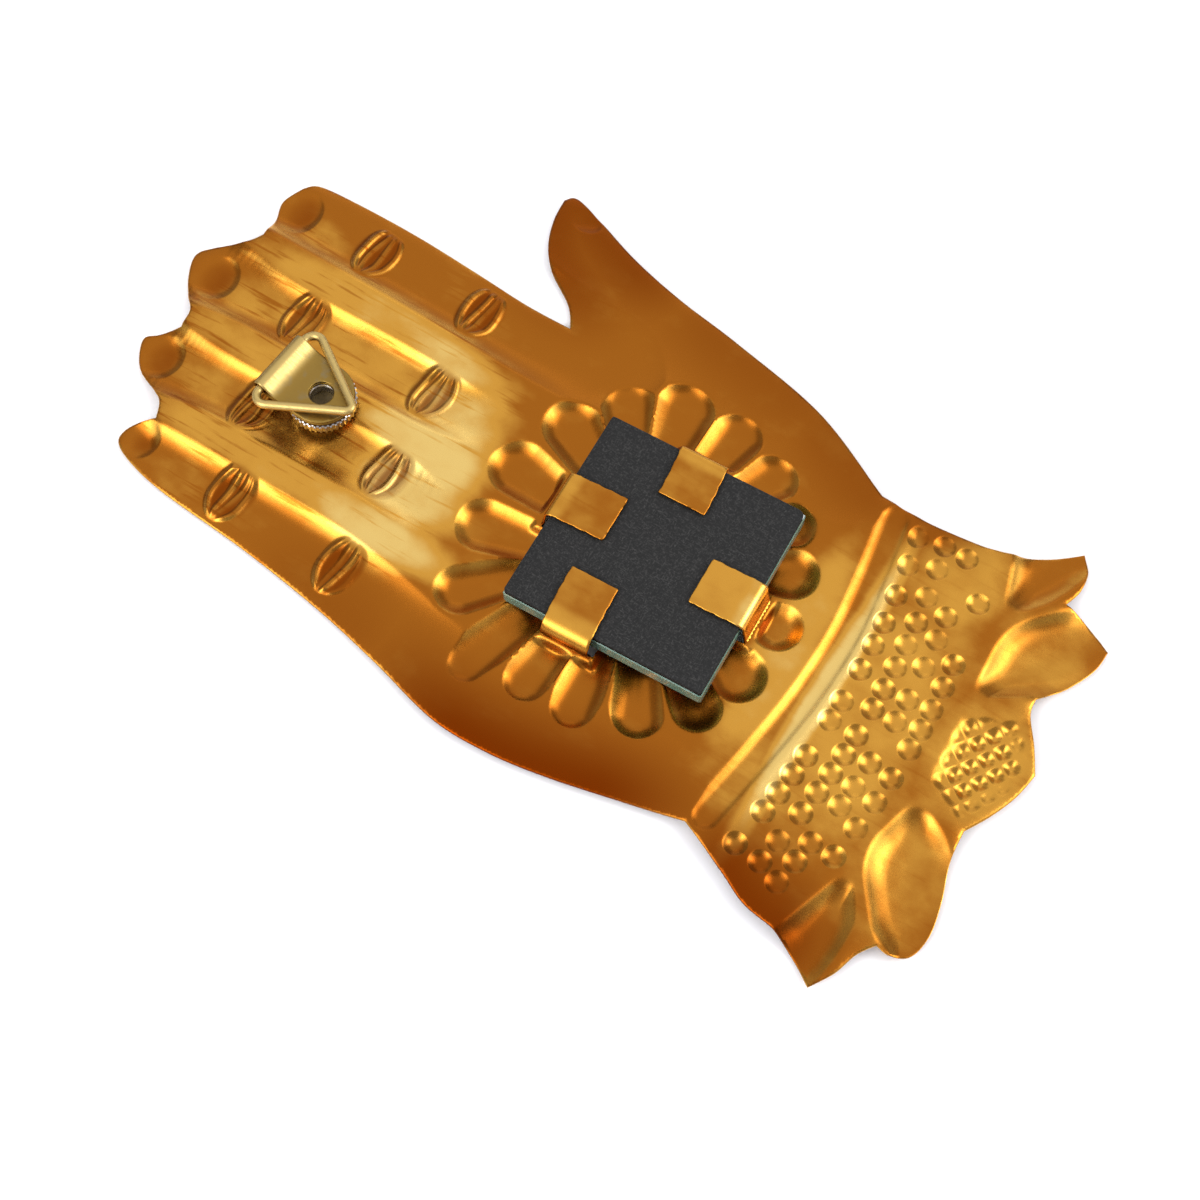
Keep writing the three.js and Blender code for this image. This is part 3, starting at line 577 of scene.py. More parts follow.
def cone_depth(xy):
    along, across = turned(xy, SCALE_X, SCALE_Y, SCALE_TURN)
    waves = np.cos(math.pi * along / SCALE_STEP) * np.cos(math.pi * across / SCALE_STEP)
    scales = np.abs(waves) ** SCALE_SHARP
    return scoop(inside(xy, CONE, CONE_ROUND), CONE_WALL) * (CONE_DEPTH + SCALE_DEPTH * scales)


def relief(xy):
    """Depth of the back of the sheet below z = 0 at plan points, in millimetres."""
    marks = NAIL_DEPTH * nail_depth(xy) - KNUCKLE_HEIGHT * knuckle_height(xy)
    fingers = FINGER_DEPTH * finger_depth(xy) + marks
    palm = np.maximum(fingers, PETAL_DEPTH * petal_depth(xy)) * (1 - flat_at_tabs(xy))
    rib = RIB_DEPTH * channel(xy, [(x, y, RIB_HALF, 1, RIB_WALL) for x, y in RIB])
    band = CUFF_DEPTH * channel(xy, [(x, y, half, 1, CUFF_WALL) for x, y, half in CUFF])
    dented = band + BEAD_DEPTH * bead_depth(xy)
    return np.max([palm, rib, dented, LEAF_DEPTH * leaf_depth(xy), cone_depth(xy)], axis=0)


print("relief at the middle finger and the palm:", relief(np.array([[6.5, 65], [-2, -27]])).round(2))

# %% [markdown]
# Every piece of sheet starts as a flat shape filled with a fine net of triangles. A grid would leave steps
# along the cut edge, so the edge's own points are kept, and Blender's Delaunay function joins them with
# even points inside.

# %% Net of triangles
CLOSEST = 0.7  # how near to an edge the net's own points may lie, as a share of its step


def within(xy, loops):
    """True for the points inside the first closed line and outside the others, by counting crossings."""
    crossed = np.zeros(len(xy), bool)
    order = np.argsort(xy[:, 1])
    heights = xy[order, 1]
    for loop in loops:
        for (ax, ay), (bx, by) in zip(loop, np.roll(loop, -1, axis=0)):
            low, high = np.searchsorted(heights, sorted((ay, by)))
            beside = order[low:high]
            x, y = xy[beside].T
            crossed[beside] ^= x < (bx - ax) * (y - ay) / (by - ay or 1) + ax
    return crossed


def gap_to(xy, loop):
    """Distance from each point to the nearest point of a line."""
    tree = KDTree(len(loop))
    for number, (x, y) in enumerate(loop):
        tree.insert((x, y, 0), number)
    tree.balance()
    return np.array([tree.find((x, y, 0))[2] for x, y in xy])


def lattice(low, high, step):
    """Points of a net of even triangles between two corners."""
    lines = []
    for number, y in enumerate(np.arange(low[1], high[1], step * math.sqrt(3) / 2)):
        x = np.arange(low[0], high[0], step) + step / 2 * (number % 2)
        lines.append(np.column_stack([x, np.full(len(x), y)]))
    return np.vstack(lines)


def net(loops, step, fine=None):
    """Points and triangles that fill the loops, whose own points come first, and the edges of the loops.
    Where fine(points) is true the points lie twice as close."""
    corners = loops[0].min(0), loops[0].max(0)
    grid = lattice(*corners, step)
    if fine:
        close = lattice(*corners, step / 2)
        grid = np.vstack([grid[~fine(grid)], close[fine(close)]])
    grid = grid[within(grid, loops)]
    for loop in loops:
        grid = grid[gap_to(grid, loop) > CLOSEST * step]
    points = np.vstack([*loops, grid])
    edges = []
    start = 0
    for loop in loops:
        edges += [(start + i, start + (i + 1) % len(loop)) for i in range(len(loop))]
        start += len(loop)
    triangles = np.array(delaunay_2d_cdt([Vector(p) for p in points], edges, [], 0, 1e-7)[2])
    return points, triangles[within(points[triangles].mean(1), loops)], edges


print("net points in 1 cm2:", len(lattice((0, 0), (10, 10), STEP)))

# %% [markdown]
# The net is bent to its form with two faces a sheet's thickness apart. A Solidify modifier could do that,
# but here the two faces stop a little short of the cut edge and are joined round it, so that the edge is
# rounded and catches light. Each finished mesh rides on a body of the model and takes one of its finishes.

# %% Sheet
ROUND_EDGE = 0.12


def sheet(loops, step, thickness, form, round_edge=ROUND_EDGE, fine=None):
    """Points and faces of a bent sheet, and the flat place of each point. The first loop runs
    counterclockwise and the others clockwise. form(flat points) gives their places on the sheet's middle,
    and the directions of its thickness."""
    points, triangles, edges = net(loops, step, fine)
    inward = np.zeros_like(points)
    rim = 0
    for loop in loops:
        way = np.roll(loop, -1, axis=0) - np.roll(loop, 1, axis=0)
        inward[rim:rim + len(loop)] = np.stack([-way[:, 1], way[:, 0]], 1) / np.hypot(*way.T)[:, None]
        rim += len(loop)
    set_in = points + inward * round_edge
    middle, thick = form(set_in)
    edge_middle, edge_thick = form(points[:rim])
    half = thickness / 2
    vertices = np.vstack([
        middle + thick * half,
        middle - thick * half,
        edge_middle + edge_thick * (half - round_edge),
        edge_middle - edge_thick * (half - round_edge),
    ])
    count = len(points)
    bands = [0, 2 * count, 2 * count + rim, count]
    faces = [tuple(t) for t in triangles] + [tuple(t[::-1] + count) for t in triangles]
    for a, b in edges:
        faces += [(top + b, top + a, bottom + a, bottom + b) for top, bottom in zip(bands, bands[1:])]
    return vertices, faces, np.vstack([set_in, set_in, points[:rim], points[:rim]])


def piece(name, vertices, faces, material, body, slot, replaced=(), sharp=50, **values):
    """An object of the model from plan points and faces, with any values painted on its points."""
    mesh = bpy.data.meshes.new(name)
    mesh.from_pydata(placed(vertices).tolist(), [], faces)
    mesh.shade_smooth()
    mesh.set_sharp_from_angle(angle=math.radians(sharp))
    mesh.materials.append(material)
    for value, numbers in values.items():
        mesh.attributes.new(value, "FLOAT", "POINT").data.foreach_set("value", np.asarray(numbers, float))
    made = put(name, mesh)
    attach(made, body)
    if replaced:
        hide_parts(*replaced)
    print(f"{name}: {len(vertices)} points, {len(faces)} faces")
    return made


# %% [markdown]
# The sheet is brass under a brown lacquer, which was brushed on after pressing and is thickest round the
# edges. It has rubbed thin on the lands between the fingers and in the middle of the cuff. Noise alone would
# put wear anywhere, so where the coat is thin is painted on the mesh's points, and noise only breaks it up.
# The same points carry painted highlights on steep walls and on the tabs' folds, and painted shade in small
# hollows and at the tabs' feet. The brush marks run along the fingers, so the coat ends there in long uneven
# streaks.

# %% Lacquered brass
lacquered_brass, tree = new_material("lacquered_brass")
# Strokes of the brush, thin across the fingers and long along them, clouds in the coat, and its fine grain
strokes = pattern(tree, (0.9, 13, 13), 5)
clouds = pattern(tree, (6, 8, 8), 4)
grain = pattern(tree, (0.25, 0.25, 0.25), 2)
wear_and_sheen, brush_marks, dark_coat_and_shade = (add(tree, "Attribute", output="Fac", attribute_name=name)
                              for name in ("wear", "brushed", "edge"))
streaks = add(tree, "MapRange", {"Value": strokes, "From Min": 0.54, "From Max": 0.74}, **SMOOTH)
uneven = {"Value": clouds, "From Min": 0.25, "From Max": 0.75, "To Min": -0.12, "To Max": 0.12}
cloudy = add(tree, "Math", {0: add(tree, "MapRange", uneven, **SMOOTH), 1: wear_and_sheen})
paleness = add(tree, "Math", {0: streaks, 1: brush_marks, 2: cloudy}, operation="MULTIPLY_ADD")
golden_share = add(tree, "MapRange", {"Value": paleness, "From Max": 0.5}, **SMOOTH)
pale_share = add(tree, "MapRange", {"Value": paleness, "From Min": 0.5}, **SMOOTH)
# Brown where the coat is whole, golden where it is thin, pale where the brass is bare and where highlights
# are painted, red brown at edges and where shade is painted
coat = linear("#9C5C19")
for share, colour in ((golden_share, "#C99239"), (pale_share, "#E0BE6E"), (dark_coat_and_shade, "#742F03")):
    coat = add(tree, "Mix", {SHARE: share, FIRST: coat, SECOND: linear(colour)}, **COLOURS)
satin = {"Value": grain, "From Min": 0.2, "From Max": 0.8, "To Min": 0.24, "To Max": 0.34}
surface(tree, {
    "Base Color": coat,
    "Metallic": 1,
    "Roughness": add(tree, "MapRange", satin, **SMOOTH),
    "Normal": add(tree, "Bump", {"Height": grain, "Distance": 0.02 * MM, "Strength": 0.4}),
})

# %% [markdown]
# The hand's sheet has a window behind the mirror: a circle, with a slot out to the root of each tab.
# The tabs were cut from the waste of the window and folded up, so their roots are the slots' ends. A
# boolean could cut it, but it would leave ragged triangles, so the window is a second edge of the net.

# %% Window behind the mirror
SHEET = 0.5
WINDOW_RADIUS = 14
ARC_STEPS = 24


def around(angles):
    """Points of a circle with a radius of 1."""
    return np.stack([np.cos(angles), np.sin(angles)], 1)


def window_loop():
    """The window's edge, clockwise: round the circle, and out and back along each tab's slot."""
    slots = []
    for tab in TABS:
        out, aside = around(tab["angle"] + np.array([0, math.pi / 2]))
        half = TAB_WIDTH / 2 + TAB_SLIT
        slot = []
        for shift in (tab["shift"] - half, tab["shift"] + half):
            on_circle = out @ FLOWER + math.sqrt(WINDOW_RADIUS ** 2 - (shift - aside @ FLOWER) ** 2)
            corner = out * on_circle + aside * shift
            root = out * (MIRROR_SIDE / 2 + tab["root"]) + aside * shift
            slot += [root, corner] if slot else [corner, root]
        slots.append(np.array(slot))
    loop = []
    for slot, after in zip(slots, slots[1:] + slots[:1]):
        start, end = (math.atan2(*(corner - FLOWER)[::-1]) for corner in (slot[-1], after[0]))
        angles = np.linspace(start, start + (end - start) % (2 * math.pi), ARC_STEPS)
        arc = FLOWER + WINDOW_RADIUS * around(angles)
        loop += [evenly(slot, STEP), evenly(arc, STEP)]
    return np.vstack(loop)[::-1]


window = window_loop()
print("window points:", len(window))

# %% [markdown]
# Where the coat is thin is painted on the points of the sheet: rounded patches for the lands, the palm and
# the cuff. All steep walls are painted a little paler as well, a painted highlight that makes their glints
# whiter. The coat is dark near the cut edge, and painted shade darkens the creases between the knuckles'
# ridges and the deep ends of the nails.

# %% Hand plate
# Patches where the coat is thin: x, y, half width, half length and how thin
PALE_PATCHES = [
    (15.4, 68, 6, 34, 0.6),
    (14, 52, 6, 15, 0.75),
    (-2.2, 72, 6, 32, 0.45),
    (-2.2, 48, 7, 18, 0.95),
    (-19.6, 68, 6, 34, 0.5),
    (-20.5, 44, 6.5, 20, 0.85),
    (6.5, 64, 8, 28, 0.35),
    (6, 46, 8, 14, 0.8),
    (-11, 64, 8, 28, 0.35),
    (-11, 44, 9, 16, 0.9),
    (-5, 42, 24, 11, 0.9),
    (6.5, 88, 6.5, 11, 0.32),
    (-12, 86, 6.5, 11, 0.27),
    (23.5, 86, 6, 6, 0.3),
    (-30, 80, 5, 9, 0.2),
    (-25, -31.5, 12, 5, 0.3),
    (-3, -27, 28, 7, 0.6),
    (-5, -36.2, 40, 3.6, 1),
    (-5, -45, 36, 16, 0.42),
    (24, -46, 14, 11, 0.45),
    (-3, -64, 16, 14, 0.42),
    (-26, -62, 18, 13, 0.24),
    (19, -64, 16, 13, 0.24),
]
# Stretches along which the coat is dark: x, y, reach and how dark
DARK_EDGES = [
    (52, 42, 28, 0.75),
    (44, 5, 30, 0.4),
    (36, -20, 22, 0.45),
    (34, -38, 14, 0.4),
    (-42, -44, 20, 0.95),
    (-42, 0, 40, 1),
    (-36, 44, 20, 0.3),
]
DARK_REACH = 17.0
PATCH_FADE = (0.3, 1.1)  # where a patch starts and ends to fade, as shares of its half width
EDGE_FADE = (0.3, 1)
PETALS_COATED = 0.8  # how much of the coat stays on in the petals
# Steep walls away from the petals are painted paler, a painted highlight that whitens their glints: from
# which slope, and how much
STEEP = (0.3, 0.75)
STEEP_SHEEN = 0.6
# How dark the painted shade is between a knuckle's ridges and in the deep ends of nails, and how thin the
# coat is on ridges
CREASE_SHADE = 0.8
NAIL_SHADE = 0.6
NAIL_SHADE_RISE = (0.2, 0.9)
RIDGE_WEAR = 0.2
# How much of the brown is left in the brush marks on the fingers and elsewhere, and where the fingers begin
BRUSHED, BRUSHED_LOW = -0.35, -0.05
FINGERS_BEGIN = (32, 42)
FINE_REACH = 1.0  # how far the fine net reaches beyond a small mark
# How far the cutting rolled the sheet's edge down, and how far in that reaches
EDGE_ROLL = 0.3
EDGE_REACH = 2.5


def wear(xy):
    thin = np.zeros(len(xy))
    for *oval, most in PALE_PATCHES:
        thin = np.maximum(thin, most * (1 - soft_step(*PATCH_FADE, from_oval(xy, *oval))))
    return thin * (1 - PETALS_COATED * petal_depth(xy))


def edge_dark(xy, gap):
    dark = np.zeros(len(xy))
    for x, y, reach, most in DARK_EDGES:
        dark = np.maximum(dark, most * (1 - soft_step(*EDGE_FADE, from_oval(xy, x, y, reach, reach))))
    return dark * (1 - soft_step(0, DARK_REACH, gap))


def small_marks(xy):
    """True at the knuckles, nails, beads and scales, which need a finer net."""
    near = np.zeros(len(xy), bool)
    for x, y in KNUCKLES:
        near |= np.hypot(*(xy - [x, y]).T) < KNUCKLE_ACROSS + FINE_REACH
    for x, y, across, along in NAILS:
        near |= np.hypot(*(xy - [x, y]).T) < max(across, along) + FINE_REACH
    return near | (bead_depth(xy, BEAD_RADIUS + FINE_REACH) > 0) | (inside(xy, CONE, CONE_ROUND) > 0)


def raised(xy, height):
    """Flat points at a height, or each at its own."""
    return np.column_stack([xy, np.broadcast_to(height, len(xy))])


def on_relief(xy):
    rolled = EDGE_ROLL * np.clip(1 - gap_to(xy, outline) / EDGE_REACH, 0, 1) ** 2
    depth = np.minimum(relief(xy) + rolled, LEAF_DEPTH)
    return raised(xy, -SHEET / 2 - depth), np.array([0, 0, 1])


vertices, faces, flat = sheet([outline, window], STEP, SHEET, on_relief, fine=small_marks)
lenses, ridges = knuckles(flat)
crease_shade = CREASE_SHADE * lenses * (1 - ridges)
nail_shade = NAIL_SHADE * soft_step(*NAIL_SHADE_RISE, nail_depth(flat))
dark = np.max([edge_dark(flat, gap_to(flat, outline)), crease_shade, nail_shade], axis=0)
brushed = BRUSHED_LOW + (BRUSHED - BRUSHED_LOW) * soft_step(*FINGERS_BEGIN, flat[:, 1])
# The edge values hold the coat's darkness near the cut edge and the painted shade in creases and nails
hand = piece("pressed_hand", vertices, faces, lacquered_brass, "hand", "lacquered_brass", ["hand_plate"],
             wear=np.zeros(len(vertices)), edge=dark, brushed=brushed)
# How steep a wall is shows in the finished mesh's normals, so the wear and the painted highlights on walls
# go on last
normals = np.zeros(len(vertices) * 3)
hand.data.vertices.foreach_get("normal", normals)
slope = np.hypot(*normals.reshape(-1, 3)[:, :2].T)
steep = soft_step(*STEEP, slope) * (1 - petal_depth(flat))
thin = np.max([wear(flat), STEEP_SHEEN * steep, RIDGE_WEAR * ridges], axis=0)
hand.data.attributes["wear"].data.foreach_set("value", thin)

# %% [markdown]
# A folded strip is a flat shape wrapped along a bent line: how far along the strip a point lies gives
# its place on the line, and the line's own direction gives the way the strip faces there. A bend modifier
# could fold it too, but this keeps the strip's cut length, as folding real metal does.

# %% Folding
def rounded(corners, lengths, steps=10):
    """A line through corners, each rounded by an arc that starts and ends a given length from it."""
    corners = np.asarray(corners, float)
    line = [corners[:1]]
    share = np.linspace(0, 1, steps)[:, None]
    for before, corner, after, length in zip(corners, corners[1:], corners[2:], lengths):
        back, ahead = ((end - corner) / np.hypot(*(end - corner)) for end in (before, after))
        turn = math.pi - math.acos(back @ ahead)
        near = length * (1 - 4 / 3 * math.tan(turn / 4) / math.tan(turn / 2))
        ways = (back * length, back * near, ahead * near, ahead * length)
        start, pull_in, pull_out, end = (corner + way for way in ways)
        line.append((1 - share) ** 3 * start + 3 * share * (1 - share) ** 2 * pull_in
                    + 3 * share ** 2 * (1 - share) * pull_out + share ** 3 * end)
    return np.vstack([*line, corners[-1:]])


def wrapped(line):
    """A function that places flat points along the line, across it and up, and gives their facing."""
    lengths = lengths_along(line)
    ways = np.gradient(line, lengths, axis=0)
    ways /= np.hypot(*ways.T)[:, None]

    def form(flat):
        along, up = (np.interp(flat[:, 0], lengths, column) for column in line.T)
        way_along, way_up = (np.interp(flat[:, 0], lengths, column) for column in ways.T)
        zero = np.zeros(len(flat))
        return np.column_stack([along, flat[:, 1], up]), np.column_stack([-way_up, zero, way_along])

    return form


def ragged(points, most, seed):
    """Points of a snipped edge, moved a little in and out by uneven waves."""
    along = lengths_along(points)
    waves = ((1, 2.1, seed), (0.6, 5.3, 2 * seed), (0.4, 11, seed))
    wave = sum(size * np.sin(along * turns + start) for size, turns, start in waves)
    return points + most * wave[:, None] * np.array([0.6, 1])


def to_plan(local, angle, x=0, y=0):
    """Points of a turned frame as plan points."""
    cosine, sine = math.cos(angle), math.sin(angle)
    return np.column_stack([
        x + local[:, 0] * cosine - local[:, 1] * sine,
        y + local[:, 0] * sine + local[:, 1] * cosine,
        local[:, 2],
    ])


print("points of a rounded corner:", len(rounded([(0, 0), (5, 0), (5, 5)], [2])))

# %% [markdown]
# Each tab stands up from its root beside the glass, leans out a little at the knee, and is folded over the
# card. Its edges were snipped by hand, so they waver. The fold is painted paler, partly rubbed coat and
# partly a painted highlight on the bend, and the foot is painted dark as shade.

# %% Tabs
GLASS = 3.0
CARD = 1.0
GLASS_BOTTOM = CLEARANCE
CARD_BOTTOM = GLASS_BOTTOM + GLASS + CLEARANCE
TAB_BOTTOM = CARD_BOTTOM + CARD + CLEARANCE
TAB_HELD = 0.8  # how far a tab's root lies inside the sheet
TAB_THICKNESS = SHEET - 0.04  # thinner, so that no face of a root lies in the sheet's own
KNEE_OUT, KNEE_UP = 0.35, 0.4  # how far out a tab's knee stands, and how high, as a share
FOOT_BEND, KNEE_BEND = 0.5, 1.2
SNIPPED = 0.05
# The fold is painted paler, partly rubbed coat and partly a painted highlight on the bend
FOLD_WEAR_AND_HIGHLIGHT = 0.25
FOLD_FADE = (1, 3)
# A tab's foot is painted dark as shade, and a pale tab gets less of it
FOOT_SHADE, FOOT_PALER = 0.8, 1.6  # how dark a tab's foot is, and how much less so on a pale tab
FOOT_SHARE = 0.7

for number, tab in enumerate(TABS):
    half = MIRROR_SIDE / 2
    stand = half + CLEARANCE + SHEET / 2 + tab["bulge"]
    over = TAB_BOTTOM + SHEET / 2
    corners = [
        (half + tab["root"] + TAB_HELD, -SHEET / 2),
        (half + tab["root"], -SHEET / 2),
        (stand + KNEE_OUT, KNEE_UP * TAB_BOTTOM),
        (stand, over),
        (half - tab["length"], over),
    ]
    line = rounded(corners, [FOOT_BEND, min(0.5 * tab["bend"], KNEE_BEND), tab["bend"]])
    long = lengths_along(line)[-1]
    wide = TAB_WIDTH / 2
    tab_loop = evenly(np.array([(0, -wide), (long, -wide), (long, wide), (0, wide), (0, -wide)]), STEP)
    vertices, faces, flat = sheet([ragged(tab_loop, SNIPPED, number)], STEP, TAB_THICKNESS, wrapped(line))
    vertices[:, 1] += tab["shift"] + tab["lean"] * soft_step(0, long, flat[:, 0])
    vertices = to_plan(vertices, tab["angle"])
    fold = long - tab["length"]
    at_fold = 1 - soft_step(*FOLD_FADE, np.abs(flat[:, 0] - fold))
    at_foot = 1 - soft_step(0, FOOT_SHARE * fold, flat[:, 0])
    # Wear here holds the tab's paleness and the fold's painted highlight, and edge holds the painted shade
    # at its foot
    piece(f"tab_{number + 1}", vertices, faces, lacquered_brass, "hand", "lacquered_brass",
          wear=tab["pale"] + FOLD_WEAR_AND_HIGHLIGHT * at_fold,
          edge=(FOOT_SHADE - FOOT_PALER * tab["pale"]) * at_foot,
          brushed=np.full(len(vertices), BRUSHED_LOW))

# %% [markdown]
# The mirror is a cut square of float glass, silvered on the face that lies under the card. Its sides were
# ground, so they are cloudy, and show green, as thick glass does. Its front is polished and clear. One
# mesh takes the three finishes, face by face, because separate meshes would leave seams in the glass.

# %% Mirror glass
GLASS_IOR = 1.52
float_glass, tree = new_material("float_glass")
coarse = pattern(tree, (1.5, 1.5, 0.4))
ground = {"Value": coarse, "From Min": 0.3, "From Max": 0.7, "To Min": 0.08, "To Max": 0.3}
surface(tree, {
    "Base Color": linear("#A9DCC2"),
    "Roughness": add(tree, "MapRange", ground, **SMOOTH),
    "Transmission Weight": 0.7,
    "IOR": GLASS_IOR,
})
polished_glass, tree = new_material("polished_glass")
tints = {SHARE: pattern(tree, (9, 9, 9)), FIRST: linear("#E2EEE8"), SECOND: linear("#EDF5F1")}
surface(tree, {
    "Base Color": add(tree, "Mix", tints, **COLOURS),
    "Roughness": 0.01,
    "Transmission Weight": 1,
    "IOR": GLASS_IOR,
})
silvering, tree = new_material("silvering")
tints = {SHARE: pattern(tree, (4, 4, 4)), FIRST: linear("#C9CBCB"), SECOND: linear("#D8DAD9")}
surface(tree, {
    "Base Color": add(tree, "Mix", tints, **COLOURS),
    "Metallic": 1,
    "Roughness": 0.05,
})
PLATE_STEP, PLATE_EDGE_STEP = 3, 0.6  # spacing of the net in flat plates, and of the points of their edges
GLASS_EDGE = 0.18
GLASS_CORNER = 0.25
LEVEL = 0.9  # how far up or down a face's normal points if it belongs to the front or the back


def plate(side, corners, bottom, thickness, edge):
    """Points and faces of a flat square on the mirror's place, with a rounding at each corner."""
    half = side / 2
    line = [(-half, 0), (-half, -half), (half, -half), (half, half), (-half, half), (-half, 0)]

    def form(flat):
        return to_plan(raised(flat, bottom + thickness / 2), MIRROR_TURN), np.array([0, 0, 1])

    loop = evenly(rounded(line, corners), PLATE_EDGE_STEP)
    return sheet([loop], PLATE_STEP, thickness, form, edge)[:2]


vertices, faces = plate(MIRROR_SIDE, [GLASS_CORNER] * 4, GLASS_BOTTOM, GLASS, GLASS_EDGE)
glass = piece("mirror_glass_plate", vertices, faces, float_glass, "hand", "mirror_glass", ["mirror_glass"],
              sharp=30)
glass.data.materials.append(silvering)
glass.data.materials.append(polished_glass)
for face in glass.data.polygons:
    if abs(face.normal.z) > LEVEL:
        face.material_index = 1 if face.normal.z > 0 else 2

# %% [markdown]
# The card is black craft paper of a millimetre. Its surface is a felt of short fibres, a few of them
# pale, pressed flat by rollers, so it is quite dull. The fibres are too fine to show, so they are drawn
# a few times coarser than real ones. One corner is rubbed round.

# %% Backing card
black_card, tree = new_material("black_card")
fibres = pattern(tree, (0.15, 0.7, 0.5), 5)
flecks = pattern(tree, (0.5, 0.2, 0.5), 5)
felt = add(tree, "Math", {0: fibres, 1: flecks}, operation="MAXIMUM")
pale = add(tree, "MapRange", {"Value": felt, "From Min": 0.5, "From Max": 0.8}, **SMOOTH)
blacks = {SHARE: pale, FIRST: linear("#1C1C1B"), SECOND: linear("#403F3D")}
surface(tree, {
    "Base Color": add(tree, "Mix", blacks, **COLOURS),
    "Roughness": 0.85,
    "Specular IOR Level": 0.3,
    "Normal": add(tree, "Bump", {"Height": felt, "Distance": 0.08 * MM, "Strength": 0.6}),
})
CARD_INSET = 0.15
CARD_EDGE = 0.15
CARD_CORNERS = [0.3, 1.2, 0.3, 0.3]
vertices, faces = plate(MIRROR_SIDE - 2 * CARD_INSET, CARD_CORNERS, CARD_BOTTOM, CARD, CARD_EDGE)
piece("backing_card_sheet", vertices, faces, black_card, "hand", "black_card", ["backing_card"])

# %% [markdown]
# The hanger's brass has no coat, so it has dulled unevenly: olive brown on the flat strap with a bluish
# bloom, and a cleaner yellow on the wire, which fingers rub. One material serves both: how dull the brass is
# at each place is painted on the meshes, and a painted highlight on the strap's slope makes it less dull
# there. Drawing the strip and wire left fine lengthwise scuffs.

# %% Plain brass
plain_brass, tree = new_material("plain_brass")
spots = pattern(tree, (2.4, 2.4, 2.4))
scuffs = pattern(tree, (0.3, 3, 3))
dull = add(tree, "Attribute", output="Fac", attribute_name="dull")
blotches = add(tree, "MapRange", {"Value": spots, "From Min": 0.52, "From Max": 0.85}, **SMOOTH)
bloom = add(tree, "Math", {0: dull, 1: blotches}, operation="MULTIPLY")
brass = linear("#D6BC78")
for share, colour in ((dull, "#86682A"), (bloom, "#857A5E")):
    brass = add(tree, "Mix", {SHARE: share, FIRST: brass, SECOND: linear(colour)}, **COLOURS)
satin = {"Value": scuffs, "From Min": 0.25, "From Max": 0.75, "To Min": 0.36, "To Max": 0.5}
surface(tree, {
    "Base Color": brass,
    "Metallic": 1,
    "Roughness": add(tree, "MapRange", satin, **SMOOTH),
    "Normal": add(tree, "Bump", {"Height": scuffs, "Distance": 0.02 * MM, "Strength": 0.4}),
})

# %% [markdown]
# The hanger stands on a spacer over the lands and hollows of the fingers. Its strap is one strip, folded
# double round the ring's straight side, with both ends rounded about one hole. It is wrapped along its
# fold as the tabs are, so that its two holes meet.

# %% Hanger strap
HANGER_X, HANGER_Y = -5.2, 65.5
HANGER_TURN = math.radians(-4.8)
PAD_HEIGHT = 0.7
SPACER = 2.0
SPACER_BOTTOM = PAD_HEIGHT + CLEARANCE
STRAP_BOTTOM = SPACER_BOTTOM + SPACER + CLEARANCE
STRAP = 0.5
STRAP_WIDTH = 11.8
STRAP_HOLE = 2.2
LAYER_GAP = 0.15
WIRE = 1.6
WIRE_PLAY = 0.3
ROLL_REACH = 8.9
ROLL_SLOPE = math.radians(40)
ROLL_RADIUS = WIRE / 2 + WIRE_PLAY + STRAP / 2
ROLL_HEIGHT = STRAP_BOTTOM + STRAP / 2 + ROLL_RADIUS
STRAP_STEP = 0.4
ROLL_STEPS = 40
SLOPE_BEND = 2
# How dull the upper layer is, how far from its hole it ends, and where a painted highlight lies on the slope
TOP_DULL = 0.9
TOP_REACH = 8
GLEAM_REACH = 8.4
GLEAM_FADE = (0.8, 3)
PAINTED_GLEAM = 0.65


def on_hanger(local):
    """Points of the hanger's frame as plan points: across the strap, along it to the roll, and up."""
    return to_plan(local, HANGER_TURN, HANGER_X, HANGER_Y)


def strap_line():
    """The strap's fold, from its end along the bottom, round the wire, down a slope and back."""
    low = STRAP_BOTTOM + STRAP / 2
    high = low + STRAP + LAYER_GAP
    angles = np.linspace(-math.pi / 2, math.pi / 2 + ROLL_SLOPE, ROLL_STEPS)
    roll = [ROLL_REACH, ROLL_HEIGHT] + ROLL_RADIUS * around(angles)
    foot = roll[-1, 0] - (roll[-1, 1] - high) / math.tan(ROLL_SLOPE)
    end = -STRAP_WIDTH / 2
    slope = rounded([roll[-1], (foot, high), (end, high)], [SLOPE_BEND])
    return np.vstack([[(end, low)], roll[:-1], slope])


def circle(x, radius, start, end, step=STRAP_STEP):
    count = round(radius * abs(end - start) / step)
    return [x, 0] + radius * around(np.linspace(start, end, count, endpoint=False))


line = strap_line()
long = lengths_along(line)[-1]
half = STRAP_WIDTH / 2
first, last = half, long - half  # the middles of the flat strip's round ends, where its holes are
strap_loop = np.vstack([
    circle(first, half, math.pi / 2, 1.5 * math.pi),
    evenly(np.array([(first, -half), (last, -half)]), STRAP_STEP),
    circle(last, half, -math.pi / 2, math.pi / 2),
    evenly(np.array([(last, half), (first, half)]), STRAP_STEP),
])
holes = [circle(x, STRAP_HOLE, 2 * math.pi, 0) for x in (first, last)]
vertices, faces, flat = sheet([strap_loop, *holes], STRAP_STEP, STRAP, wrapped(line))
# The strip runs along the hanger, so its across and along change places, and one of them its sign
vertices = on_hanger(np.column_stack([-vertices[:, 1], vertices[:, 0], vertices[:, 2]]))
